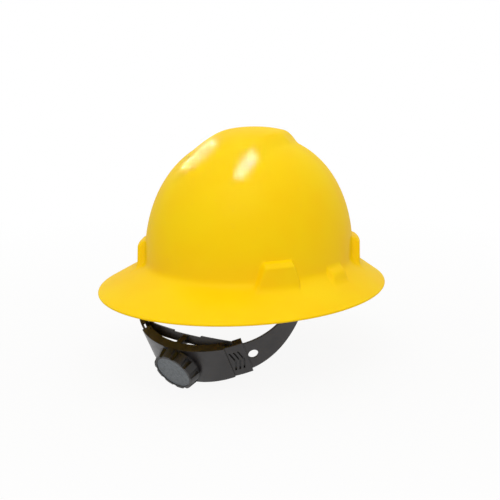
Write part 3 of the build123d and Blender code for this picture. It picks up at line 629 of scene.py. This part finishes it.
def shell_outer():
    """Rows of points from the dome's top to the rim, outside, in millimetres."""
    high = np.concatenate([arc_heights(OUTER_ROWS, OUTER_START), LOW_HEIGHTS])
    turn, stand, reaches = shell_columns(high)
    points = dome_point(turn, high[:, None] + 0 * turn)
    out = dome_normal(points * np.array([1, 1, 0]) + np.array([0, 0, 1e-6]))
    base = np.stack([DOME_WIDTH * np.sin(turn), DOME_LENGTH * np.cos(turn)], -1)
    flat_out = out[..., :2] / np.linalg.norm(out[..., :2], axis=-1, keepdims=True)
    stand_base = ((points[..., :2] - base) * flat_out).sum(-1)
    lifted = points.copy()
    for column, reach in enumerate(reaches):
        if stand[column] == 0:
            continue
        wanted = softened(reach, high, CORNER_SOFT)
        push = np.clip(wanted - stand_base[:, column], 0, None) * stand[column]
        lifted[:, column, :2] += flat_out[:, column] * push[:, None]
    dome_rows = high > LUG_HEIGHT + RIDGE_CLEARS_LUGS
    lifted[dome_rows] = raise_ridge(points[dome_rows], 0.0, 0.0)

    foot_turn = turn[-1]
    foot, edge = brim_ruling(foot_turn)
    line = edge - foot
    across = (line[:, :2] * flat_out[-1]).sum(-1)
    reach_at_foot = np.array([softened(r, high[-1:], FOOT_SOFT)[0] for r in reaches]) * stand
    start = (WALL / 2 + np.clip(reach_at_foot, 0, None)) / across
    along = line / np.linalg.norm(line, axis=-1, keepdims=True)
    up = np.array([0, 0, 1.0]) - along * along[:, 2:3]
    up = up / np.linalg.norm(up, axis=-1, keepdims=True)
    half = WALL / 2
    stop = 1 - half / np.linalg.norm(line, axis=-1)
    brim = [foot + line * (start + (stop - start) * share)[:, None] for share in BRIM_SHARES]
    rim = []
    middle = foot + line * stop[:, None] - up * half
    for step in range(1, RIM_STEPS):
        angle = math.pi / 2 - math.pi * step / RIM_STEPS
        rim.append(middle + along * half * math.cos(angle) + up * half * math.sin(angle))
    under = []
    inner_start = -half / across
    for share in reversed(BRIM_SHARES[::2] + (1.0,)):
        place = inner_start + (stop - inner_start) * share
        point = foot + line * place[:, None] - up * WALL
        point[:, 2] = np.minimum(point[:, 2], -WALL)
        under.append(point)
    rows = np.concatenate([lifted, np.stack(brim)])
    weight = np.zeros(len(rows))
    weight[len(high) - FOOT_ROWS[0] : len(high) + FOOT_ROWS[1]] = 1.0
    weight = weight[:, None] * (1 - LUG_HOLD * stand[None, :])
    for _ in range(FOOT_ROUNDS):
        smooth = rows.copy()
        smooth[1:-1] = (rows[:-2] + 2 * rows[1:-1] + rows[2:]) / 4
        rows = rows + (smooth - rows) * weight[..., None]
    return np.concatenate([rows, np.stack(rim), np.stack(under)]), foot_turn


def shell_inner(turn):
    """Rows of points inside the dome, from its foot to its top."""
    high = np.concatenate([INNER_HEIGHTS, arc_heights(INNER_ROWS, INNER_START)[::-1]])
    high = high * (DOME_HEIGHT - WALL) / DOME_HEIGHT
    turns = np.repeat(turn[None, :], len(high), 0)
    points = dome_point(turns, high[:, None] + 0 * turns, -WALL)
    upper = high > LUG_HEIGHT
    points[upper] = raise_ridge(points[upper], -WALL, WALL)
    return points


def grid_faces(rows, columns):
    """Faces between the rows of a grid whose columns go all the way round."""
    faces = []
    for row in range(rows - 1):
        for column in range(columns):
            following = (column + 1) % columns
            a, b = row * columns + column, row * columns + following
            faces.append((a, b, b + columns, a + columns))
    return faces


def close_pole(points, faces, ring, columns, turned):
    """A fan from a ring of the grid to a point at its middle."""
    ring_points = points[ring * columns : (ring + 1) * columns]
    pole = len(points)
    points = np.vstack([points, ring_points.mean(0)])
    for column in range(columns):
        a = ring * columns + column
        b = ring * columns + (column + 1) % columns
        faces.append((a, b, pole) if turned else (b, a, pole))
    return points, faces


BOX_QUADS = ((0, 1, 2, 3), (7, 6, 5, 4), (0, 4, 5, 1), (1, 5, 6, 2), (2, 6, 7, 3), (3, 7, 4, 0))


def socket_boxes(width, depth_low, depth_high, top):
    """Boxes at the four lugs, open below, as one mesh to cut with."""
    points, faces = [], []
    for degrees in LUG_DEGREES:
        for side in (-1, 1):
            place, out, _ = foot_frame(side * degrees)
            along = np.array([-out[1], out[0], 0.0])
            start = len(points)
            for v in (SOCKET_BOTTOM, top):
                for u, w in ((-1, depth_low), (1, depth_low), (1, depth_high), (-1, depth_high)):
                    point = place + along * u * width / 2 + out * w + np.array([0, 0, v])
                    points.append(point * MM)
            faces += [tuple(start + corner for corner in quad) for quad in BOX_QUADS]
    return points, faces


def outward(piece):
    """Turns the piece's faces so that they point outwards."""
    shape = bmesh.new()
    shape.from_mesh(piece.data)
    bmesh.ops.recalc_face_normals(shape, faces=shape.faces)
    if shape.calc_volume(signed=True) < 0:
        bmesh.ops.reverse_faces(shape, faces=shape.faces)
    shape.to_mesh(piece.data)
    shape.free()


def plain_copy(piece):
    """Replaces a piece's mesh by its evaluated one and drops its modifiers."""
    graph = bpy.context.evaluated_depsgraph_get()
    made = bpy.data.meshes.new_from_object(piece.evaluated_get(graph))
    piece.modifiers.clear()
    piece.data = made
    return piece


def cut_away(piece, cutter):
    """Cuts the cutter's volume out of the piece and deletes the cutter."""
    step = piece.modifiers.new("cut", "BOOLEAN")
    step.operation = "DIFFERENCE"
    step.solver = "EXACT"
    step.object = cutter
    plain_copy(piece)
    bpy.data.objects.remove(cutter)


def declare(piece, slot, *stands_for):
    """The piece rides on the hat and stands for the named solids, which it hides; slot is not
    used.
    """
    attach(piece, "hat")
    if stands_for:
        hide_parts(*stands_for)


def make_shell(finish):
    """The shell's one mesh, with the sockets cut into its lugs."""
    outer, turn = shell_outer()
    inner = shell_inner(turn)
    rows = np.concatenate([outer, inner])
    count, columns = rows.shape[:2]
    points = rows.reshape(-1, 3)
    faces = grid_faces(count, columns)
    points, faces = close_pole(points, faces, 0, columns, False)
    points, faces = close_pole(points, faces, count - 1, columns, True)
    shell = mesh_piece("shell_moulding", points * MM, faces, finish)
    outward(shell)
    for label, width, low, high, top in (
        ("socket_rooms", SOCKET_WIDTH, SOCKET_BACK, SOCKET_BACK + SOCKET_DEPTH, SOCKET_TOP),
        ("socket_necks", SOCKET_NECK_WIDTH, -2 * WALL, SOCKET_BACK + 1.0, SOCKET_NECK_TOP),
    ):
        cutter = mesh_piece(label, *socket_boxes(width, low, high, top), finish)
        outward(cutter)
        cut_away(shell, cutter)
    shell.data.shade_smooth()
    shell.data.set_sharp_from_angle(angle=SHELL_SHARP)
    declare(shell, "shell", "shell")


# Geometry trees
def growth(name, lengths):
    """A geometry tree with named lengths in metres; returns it, its lengths and its curve."""
    tree = bpy.data.node_groups.new(name, "GeometryNodeTree")
    tree.interface.new_socket("Geometry", in_out="INPUT", socket_type="NodeSocketGeometry")
    tree.interface.new_socket("Geometry", in_out="OUTPUT", socket_type="NodeSocketGeometry")
    for label, value in lengths.items():
        socket = tree.interface.new_socket(label, in_out="INPUT", socket_type="NodeSocketFloat")
        socket.default_value = value
    entry = add(tree, "NodeGroupInput")
    curve = add(tree, "GeometryNodeMeshToCurve", {"Mesh": entry.outputs["Geometry"]})
    return tree, entry.outputs, curve.outputs["Curve"]


def end_growth(tree, geometry, finish):
    """Ends a geometry tree: real faces, smooth, in one material."""
    whole = add(tree, "GeometryNodeRealizeInstances", {"Geometry": geometry})
    smooth = add(tree, "GeometryNodeSetShadeSmooth", {"Geometry": whole.outputs[0]})
    coated = add(
        tree, "GeometryNodeSetMaterial", {"Geometry": smooth.outputs[0], "Material": finish}
    )
    leave = add(tree, "NodeGroupOutput")
    tree.links.new(coated.outputs[0], leave.inputs["Geometry"])


def webbing_tree(finish):
    """Sweeps a flat band along a line and lays the weave on it, in millimetres."""
    tree, lengths, curve = growth(
        "webbing_along_a_line",
        {"Width": WEB_WIDTH * MM, "Thickness": WEB_THICK * MM, "Selvedge": SELVEDGE * MM},
    )
    smooth = add(
        tree, "GeometryNodeCurveSplineType", {"Curve": curve}, spline_type="CATMULL_ROM"
    )
    section = add(
        tree,
        "GeometryNodeCurvePrimitiveQuadrilateral",
        {"Width": lengths["Width"], "Height": lengths["Thickness"]},
    )
    rounded_section = add(
        tree,
        "GeometryNodeFilletCurve",
        {"Curve": section.outputs[0], "Count": 3, "Radius": lengths["Selvedge"]},
        mode="POLY",
    )
    kept = []
    for line, label in ((smooth.outputs[0], "along"), (rounded_section.outputs[0], "across")):
        step = add(tree, "GeometryNodeSplineParameter")
        keeper = add(tree, "GeometryNodeCaptureAttribute")
        keeper.capture_items.new("FLOAT", label)
        tree.links.new(line, keeper.inputs["Geometry"])
        tree.links.new(step.outputs["Length"], keeper.inputs[label])
        kept.append(keeper.outputs)
    band = add(
        tree,
        "GeometryNodeCurveToMesh",
        {"Curve": kept[0]["Geometry"], "Profile Curve": kept[1]["Geometry"], "Fill Caps": True},
    )
    place = add(
        tree, "ShaderNodeCombineXYZ", {"X": kept[1]["across"], "Y": kept[0]["along"]}
    )
    in_mm = add(
        tree, "ShaderNodeVectorMath", {0: place.outputs[0], "Scale": 1 / MM}, operation="SCALE"
    )
    woven = add(
        tree,
        "GeometryNodeStoreNamedAttribute",
        {"Geometry": band.outputs[0], "Name": "weave", "Value": in_mm.outputs[0]},
        data_type="FLOAT2",
        domain="CORNER",
    )
    end_growth(tree, woven.outputs[0], finish)
    return tree


def stitching_tree(finish):
    """Sets a short thread at each step along its lines."""
    tree, lengths, curve = growth(
        "stitches_along_lines",
        {"Thread": THREAD * MM, "Stitch": STITCH * MM, "Pitch": STITCH_PITCH * MM},
    )
    steps = add(
        tree,
        "GeometryNodeCurveToPoints",
        {"Curve": curve, "Length": lengths["Pitch"]},
        mode="LENGTH",
    )
    thread = add(tree, "GeometryNodeMeshUVSphere", {"Segments": 6, "Rings": 5, "Radius": 0.5})
    size = add(
        tree,
        "ShaderNodeCombineXYZ",
        {"X": lengths["Thread"], "Y": lengths["Thread"], "Z": lengths["Stitch"]},
    )
    turned = add(
        tree, "FunctionNodeAlignRotationToVector", {"Vector": steps.outputs["Tangent"]}, axis="Z"
    )
    row = add(
        tree,
        "GeometryNodeInstanceOnPoints",
        {
            "Points": steps.outputs["Points"],
            "Instance": thread.outputs["Mesh"],
            "Rotation": turned.outputs[0],
            "Scale": size.outputs[0],
        },
    )
    end_growth(tree, row.outputs[0], finish)
    return tree


def grown(name, lines, tree, **lengths):
    """A piece that a geometry tree grows on open lines of points."""
    points, edges = [], []
    for line in lines:
        start = len(points)
        points += [tuple(p) for p in line]
        edges += [(start + i, start + i + 1) for i in range(len(line) - 1)]
    mesh = bpy.data.meshes.new(name)
    mesh.from_pydata(points, edges, [])
    piece = place_in_scene(name, mesh)
    step = piece.modifiers.new("grow", "NODES")
    step.node_group = tree
    for item in tree.interface.items_tree:
        if item.in_out == "INPUT" and item.name in lengths:
            step[item.identifier] = lengths[item.name]
    return plain_copy(piece)


# Crown straps
def strap_plane(side):
    """Upright plane through two opposite lugs: its middle, its way along, its bars' reach."""
    rear = foot_frame(side * LUG_DEGREES[0])[0]
    front = foot_frame(-side * LUG_DEGREES[1])[0]
    length = np.linalg.norm(rear - front)
    return (rear + front) / 2, (rear - front) / length, length / 2 - KEY_INSET


def half_oval(reach, rise, low, high, count):
    """Places on an oval that stands on the bars, between two heights over them, going up."""
    angle = np.linspace(math.asin(low / rise), math.asin(min(high / rise, 1.0)), count)
    return np.stack([reach * np.cos(angle), BAR_HIGH + rise * np.sin(angle)], -1)


def strap_line(bar, rise):
    """Middle line of one strap's half, from its sewn end round the bar to the crown."""
    half = WEB_THICK / 2
    foot = bar - BAR_ROOM
    tail = half_oval(foot + half, rise + half, TAIL_START, SEWN_RISE, 12)[::-1]
    turn = np.radians(np.linspace(92.0, -180.0, 18))
    around, up = np.cos(turn), np.sin(turn)
    squared = 2 / 3
    wide = BAR_ROOM + half
    tall = (BAR_HIGH - BAR_LOW) / 2 + LOOP_ROOM + half
    ring = np.stack(
        [
            bar + wide * np.sign(around) * np.abs(around) ** squared,
            (BAR_LOW + BAR_HIGH) / 2 + tall * np.sign(up) * np.abs(up) ** squared,
        ],
        -1,
    )
    main = half_oval(foot - half, rise - half, MAIN_START, rise - half, 46)
    return np.concatenate([tail, ring, main])


def box_stitches(reach, rise):
    """Sewn box with a cross in it, as places across the strap and up its side."""
    wide = WEB_WIDTH / 2 - BOX_INSET
    low = BOX_FOOT
    high = SEWN_RISE - BOX_TOP_GAP
    corners = [(-wide, low), (wide, low), (wide, high), (-wide, high), (-wide, low)]
    runs = [corners, [corners[0], corners[2]], [corners[1], corners[3]]]
    lines = []
    for run in runs:
        line = []
        for (u0, h0), (u1, h1) in zip(run, run[1:]):
            for share in np.linspace(0, 1, BOX_STEPS)[:-1]:
                line.append((u0 + (u1 - u0) * share, h0 + (h1 - h0) * share))
        line.append(run[-1])
        places = []
        for across, height in line:
            angle = math.asin(height / rise)
            places.append((reach * math.cos(angle), BAR_HIGH + rise * math.sin(angle), across))
        lines.append(places)
    return lines


def make_strap(name, node, side, lift, webbing, stitching):
    """One crown strap and the stitches that close its loops round the keys' bars."""
    middle, along, bar = strap_plane(side)
    across = np.cross(along, (0, 0, 1))
    rise = WEB_RISE + lift - BAR_HIGH

    def place(reach, height, offset=0.0):
        return (middle + along * reach + np.array([0, 0, height]) + across * offset) * MM

    half = strap_line(bar, rise)
    line = [place(x, y) for x, y in half] + [place(-x, y) for x, y in half[-2::-1]]
    strap = grown(name, [line], webbing)
    outward(strap)
    strap.data.set_sharp_from_angle(angle=WEB_SHARP)
    lines = []
    foot = bar - BAR_ROOM
    for out in (WEB_THICK, -WEB_THICK):
        for end in (-1, 1):
            for run in box_stitches(foot + out, rise + out):
                lines.append([place(end * x, y, u) for x, y, u in run])
    stitches = grown(name + "_stitches", lines, stitching)
    outward(stitches)
    declare(strap, "webbing", node)
    declare(stitches, "webbing")


# Brow pad
def pad_point(angle, depth, high):
    """Place on the pad: round the headband from the front, in from its face, and up."""
    out = np.stack([np.sin(angle) / PAD_WIDTH, -np.cos(angle) / PAD_LENGTH], -1)
    out = out / np.linalg.norm(out, axis=-1, keepdims=True)
    x = PAD_WIDTH * np.sin(angle) - out[..., 0] * depth
    y = PAD_SHIFT - PAD_LENGTH * np.cos(angle) - out[..., 1] * depth
    return np.stack([x, y, PAD_MIDDLE + high], -1)


def pad_grid():
    """Even steps along and up the pad, and how far each place is from its sewn lines."""
    fine = np.linspace(-PAD_TURN, PAD_TURN, 2000)
    run = pad_point(fine, 0 * fine, 0 * fine)
    length = np.concatenate([[0], np.cumsum(np.linalg.norm(np.diff(run, axis=0), axis=1))])
    columns = int(length[-1] / PAD_CELL)
    rows = int(PAD_HEIGHT / PAD_CELL)
    place = np.linspace(0, length[-1], columns + 1)
    angle = np.interp(place, length, fine)
    high = np.linspace(-PAD_HEIGHT / 2, PAD_HEIGHT / 2, rows + 1)
    seams = np.interp(np.linspace(-PAD_TURN, PAD_TURN, PAD_CHANNELS + 2)[1:-1], fine, length)
    side = np.minimum(place, length[-1] - place)[:, None]
    edge = PAD_HEIGHT / 2 - np.abs(high)[None, :]
    inset = np.where(
        (side < PAD_CORNER) & (edge < PAD_CORNER),
        PAD_CORNER - np.hypot(PAD_CORNER - side, PAD_CORNER - edge),
        np.minimum(side, edge),
    )
    to_seam = np.abs(place[:, None] - seams[None, :]).min(1)[:, None]
    along = np.interp(angle, fine, length)
    return angle, high, inset, to_seam, seams, along


def inflate(points, faces, held):
    """Blows the cover up as cloth, at ten times its size, with the held points fixed."""
    mesh = bpy.data.meshes.new("inflating")
    mesh.from_pydata([tuple(p) for p in points * SIM_SCALE], [], faces)
    piece = place_in_scene("inflating", mesh)
    outward(piece)
    group = piece.vertex_groups.new(name="held")
    group.add([int(i) for i in np.nonzero(held)[0]], 1.0, "REPLACE")
    cloth = piece.modifiers.new("cloth", "CLOTH")
    settings = cloth.settings
    settings.quality = 6
    settings.mass = 0.3
    settings.tension_stiffness = settings.compression_stiffness = 8.0
    settings.shear_stiffness = 4.0
    settings.bending_stiffness = 0.3
    settings.use_pressure = True
    settings.uniform_pressure_force = 6.0
    settings.shrink_min = -0.03
    settings.vertex_group_mass = "held"
    settings.effector_weights.gravity = 0.0
    scene = bpy.context.scene
    for frame_number in range(1, SIM_FRAMES + 1):
        scene.frame_set(frame_number)
    graph = bpy.context.evaluated_depsgraph_get()
    result = piece.evaluated_get(graph).data
    moved = np.array([tuple(v.co) for v in result.vertices]) / SIM_SCALE
    bpy.data.objects.remove(piece)
    scene.frame_set(1)
    return moved


def make_pad(finish, stitching):
    """Padded brow band: a flat back, a sewn hem and channels that pull its face in."""
    angle, high, inset, to_seam, seams, along = pad_grid()
    swell = smooth_step((inset - PAD_HEM + PAD_HEM_LEAD) / PAD_HEM_SLOPE)
    swell = swell * smooth_step((to_seam - PAD_SEAM_FLAT) / PAD_SEAM_SLOPE)
    depth = PAD_HEM_THICK + (PAD_START_THICK - PAD_HEM_THICK) * swell
    rim = smooth_step((inset + PAD_RIM_LEAD) / PAD_RIM_SLOPE)
    depth = np.clip(depth * rim, PAD_LEAST, None)
    angles, highs = np.meshgrid(angle, high, indexing="ij")
    steps = np.arange(len(angle))
    past = np.clip(PAD_CORNER - np.minimum(steps, steps[::-1]) * PAD_CELL, 0, None)
    cut = PAD_CORNER - np.sqrt(np.clip(PAD_CORNER**2 - past**2, 0, None))
    highs = highs * (1 - cut / (PAD_HEIGHT / 2))[:, None]
    front = pad_point(angles, depth, highs)
    back = pad_point(angles, 0 * depth, highs)
    columns, rows = front.shape[:2]
    points = np.concatenate([front.reshape(-1, 3), back.reshape(-1, 3)])
    first = columns * rows
    faces = []
    for i in range(columns - 1):
        for j in range(rows - 1):
            a, b = i * rows + j, (i + 1) * rows + j
            faces.append((a, b, b + 1, a + 1))
            faces.append((first + a + 1, first + b + 1, first + b, first + a))
    ring = [i * rows for i in range(columns)]
    ring += [(columns - 1) * rows + j for j in range(1, rows)]
    ring += [i * rows + rows - 1 for i in range(columns - 2, -1, -1)]
    ring += [j for j in range(rows - 2, 0, -1)]
    for a, b in zip(ring, ring[1:] + ring[:1]):
        faces.append((a, first + a, first + b, b))
    held = np.ones(2 * first, bool)
    held[:first] = ((inset < PAD_HEM) | (to_seam < PAD_CELL / 2)).reshape(-1)
    points = inflate(points, faces, held)
    moved = points[:first].reshape(columns, rows, 3)
    limit = pad_point(angles, 0 * depth + PAD_MOST, highs)
    inward = limit - back
    reach = ((moved - back) * inward).sum(-1) / (inward**2).sum(-1)
    over = np.clip(reach - 1, 0, None)
    moved = moved - inward * over[..., None]
    points[:first] = moved.reshape(-1, 3)
    pad = mesh_piece("brow_pad_cover", points * MM, faces, finish)
    spread = np.stack(np.meshgrid(along, high, indexing="ij"), -1)
    weave = pad.data.uv_layers.new(name="weave").data
    for loop in pad.data.loops:
        index = loop.vertex_index % first
        weave[loop.index].uv = tuple(spread[index // rows, index % rows])
    step = pad.modifiers.new("smooth", "SUBSURF")
    step.levels = step.render_levels = 1
    plain_copy(pad)
    outward(pad)
    declare(pad, "pad", "brow_pad")
    face = points[:first].reshape(columns, rows, 3) * MM
    lines = [face[2:-2, row] for row in (1, rows - 2)]
    lines += [face[int(np.argmin(np.abs(along - seam))), 2:-2] for seam in seams]
    lines += [face[column, 4:-4] for column in (1, columns - 2)]
    stitches = grown(
        "brow_pad_stitches", lines, stitching, Thread=PAD_THREAD * MM, Stitch=PAD_STITCH * MM
    )
    outward(stitches)
    declare(stitches, "pad")


# Finishes, by the record's slots, and one for the thread. The black nylons give the eye a fine
# dull grain, the strap's satin and the knob's coarser grip; the acetal is a waxy natural white
finishes = {
    "shell": shell_polyethylene(),
    "black_plastic": moulded_nylon("grained_black", "272627", "323132", 0.42, 0.5, 0.02, 0.45),
    "strap_plastic": moulded_nylon("satin_strap", "242223", "302E30", 0.34, 0.8, 0.008, 0.4),
    "knob_plastic": moulded_nylon("knob_black", "100E0D", "191716", 0.4, 0.45, 0.03, 0.5),
    "disc_plastic": disc_speckled(),
    "natural_plastic": moulded_nylon("natural_acetal", "D9D6C8", "E6E3D8", 0.4, 0.6, 0.01, 0.3),
    "steel": plated_steel(),
    "webbing": woven_webbing(),
    "pad": knitted_cover(),
    "thread": sewing_thread(),
}
for part in frame["record"]["subparts"]:
    mesh = nodes[part["node"]].data
    mesh.materials.clear()
    mesh.materials.append(finishes[part["material_slot"]])

make_shell(finishes["shell"])
webbing = webbing_tree(finishes["webbing"])
stitching = stitching_tree(finishes["thread"])
make_strap("crown_webbing_a", "crown_strap_a", 1, 0.0, webbing, stitching)
make_strap("crown_webbing_b", "crown_strap_b", -1, WEB_CROSSING, webbing, stitching)
make_pad(finishes["pad"], stitching)


# Floor, light and camera
WHITE = (1.0, 1.0, 1.0, 1.0)
FLOOR_SIZE = 6.0
FLOOR_DROP = 0.0005
FLOOR_GREY = (0.7, 0.7, 0.7, 1.0)
FLOOR_GLOW = 0.92
FLOOR_WHITE_FROM = (0.2, 0.75)
SKY_LEVELS = (0.4, 1.0)
SKY_LOW = (1.0, 0.78, 0.6, 1.0)
SKY_HIGH = (0.97, 1.0, 1.0, 1.0)

# The photograph's view: behind the wearer's right, a little above
SENSOR = 36.0
FOCAL_PIXELS = 1073
PICTURE_PIXELS = 500
VIEW_AZIMUTH = 216.0
VIEW_ELEVATION = 13.95
VIEW_DISTANCE = 1.1
VIEW_AIM = (0.0, 0.0, 0.0075)

# Spots that draw the two streaks on the ridge's shoulders: the place they light, in
# millimetres, then the compass angle and the height that they light it from
STREAK_DISTANCE = 0.25
STREAK_SIZE = (0.004, 0.004)
NEAR_STREAK = (
    (-34.9, 44.4, 114.6, 325.0, 70.5),
    (-35.7, 49.9, 111.2, 307.0, 77.1),
    (-36.2, 56.6, 106.6, 271.0, 80.2),
    (-36.4, 62.7, 101.9, 234.3, 80.1),
    (-36.3, 66.5, 98.8, 216.0, 77.8),
)
FAR_STREAK = (
    (11.9, 48.4, 120.6, 63.2, 37.1),
    (14.6, 55.4, 115.7, 72.4, 38.5),
    (18.0, 61.2, 110.7, 75.4, 35.3),
    (22.2, 66.3, 105.5, 75.8, 31.0),
    (26.0, 69.6, 101.5, 75.7, 27.5),
)


def make_floor():
    """White paper under the hat, which shows a little of its shadow and glows white far away."""
    low = cad_low.z - FLOOR_DROP
    mesh = bpy.data.meshes.new("floor")
    side = FLOOR_SIZE
    corners = [(-side, -side, low), (side, -side, low), (side, side, low), (-side, side, low)]
    mesh.from_pydata(corners, [], [(0, 1, 2, 3)])
    made = bpy.data.materials.new("white_paper")
    made.use_nodes = True
    tree = made.node_tree
    tree.nodes.clear()
    out = add(tree, "ShaderNodeOutputMaterial")
    paper = add(tree, "ShaderNodeBsdfDiffuse", {"Color": FLOOR_GREY})
    glow = add(tree, "ShaderNodeEmission", {"Color": WHITE, "Strength": 1.0})
    coordinates = add(tree, "ShaderNodeTexCoord")
    away = add(
        tree, "ShaderNodeVectorMath", {0: coordinates.outputs["Object"]}, operation="LENGTH"
    )
    far = remap(tree, away.outputs["Value"], *FLOOR_WHITE_FROM, FLOOR_GLOW, 1.0)
    seen = arithmetic(tree, "MULTIPLY", seen_directly(tree), far)
    both = add(tree, "ShaderNodeMixShader", {0: seen, 1: paper.outputs[0], 2: glow.outputs[0]})
    tree.links.new(both.outputs[0], out.inputs["Surface"])
    mesh.materials.append(made)
    place_in_scene("floor", mesh)


def look_from(azimuth, elevation):
    """Unit vector from the hat towards a compass angle and a height, in degrees."""
    turn, rise = math.radians(azimuth), math.radians(elevation)
    return Vector(
        (math.sin(turn) * math.cos(rise), -math.cos(turn) * math.cos(rise), math.sin(rise))
    )


def area_light(name, azimuth, elevation, distance, size, power, aim, spread=180.0):
    """Soft box that lights a place on the hat, in millimetres, and is hidden from the camera."""
    lamp = bpy.data.lights.new(name, "AREA")
    lamp.shape = "RECTANGLE"
    lamp.size, lamp.size_y = size
    lamp.energy = power
    lamp.spread = math.radians(spread)
    back = look_from(azimuth, elevation)
    holder = place_in_scene(name, lamp)
    holder.location = Vector(aim) * MM + back * distance
    holder.rotation_euler = (-back).to_track_quat("-Z", "Y").to_euler()
    holder.visible_camera = False
    return holder


def make_world():
    """White for the rays that show it; as light, warm and dim low down and bright above."""
    world = bpy.data.worlds.new("studio")
    bpy.context.scene.world = world
    world.use_nodes = True
    tree = world.node_tree
    tree.nodes.clear()
    out = add(tree, "ShaderNodeOutputWorld")
    direction = add(tree, "ShaderNodeTexCoord")
    split = add(tree, "ShaderNodeSeparateXYZ", {"Vector": direction.outputs["Generated"]})
    level = remap(tree, split.outputs["Z"], 0.0, 1.0, *SKY_LEVELS)
    warmth = mix(tree, split.outputs["Z"], SKY_LOW, SKY_HIGH)
    soft = add(tree, "ShaderNodeBackground", {"Color": warmth, "Strength": level})
    white = add(tree, "ShaderNodeBackground", {"Color": WHITE, "Strength": 1.0})
    both = add(
        tree,
        "ShaderNodeMixShader",
        {0: seen_directly(tree), 1: soft.outputs[0], 2: white.outputs[0]},
    )
    tree.links.new(both.outputs[0], out.inputs["Surface"])


def make_camera():
    """The camera, at the place that was solved from the photograph."""
    lens = bpy.data.cameras.new("photo_view")
    lens.sensor_fit = "HORIZONTAL"
    lens.sensor_width = SENSOR
    lens.lens = SENSOR * FOCAL_PIXELS / PICTURE_PIXELS
    lens.clip_start = 0.05
    lens.clip_end = 50.0
    back = look_from(VIEW_AZIMUTH, VIEW_ELEVATION)
    camera = place_in_scene("photo_view", lens)
    camera.location = Vector(VIEW_AIM) + back * VIEW_DISTANCE
    camera.rotation_euler = (-back).to_track_quat("-Z", "Y").to_euler()
    bpy.context.scene.camera = camera


make_floor()
make_world()
make_camera()
key = area_light(
    "key_box",
    azimuth=216,
    elevation=54,
    distance=1.7,
    size=(1.3, 1.3),
    power=10.5,
    aim=(0, 0, 30),
)
key.visible_glossy = False
for name, power, spread, places in (
    ("near", 0.00024, 2.2, NEAR_STREAK),
    ("far", 0.00027, 2.7, FAR_STREAK),
):
    for *aim, azimuth, elevation in places:
        spot = area_light(
            name + "_streak", azimuth, elevation, STREAK_DISTANCE, STREAK_SIZE, power, aim, spread
        )
        spot.visible_diffuse = False
bpy.context.scene.view_settings.view_transform = "Standard"
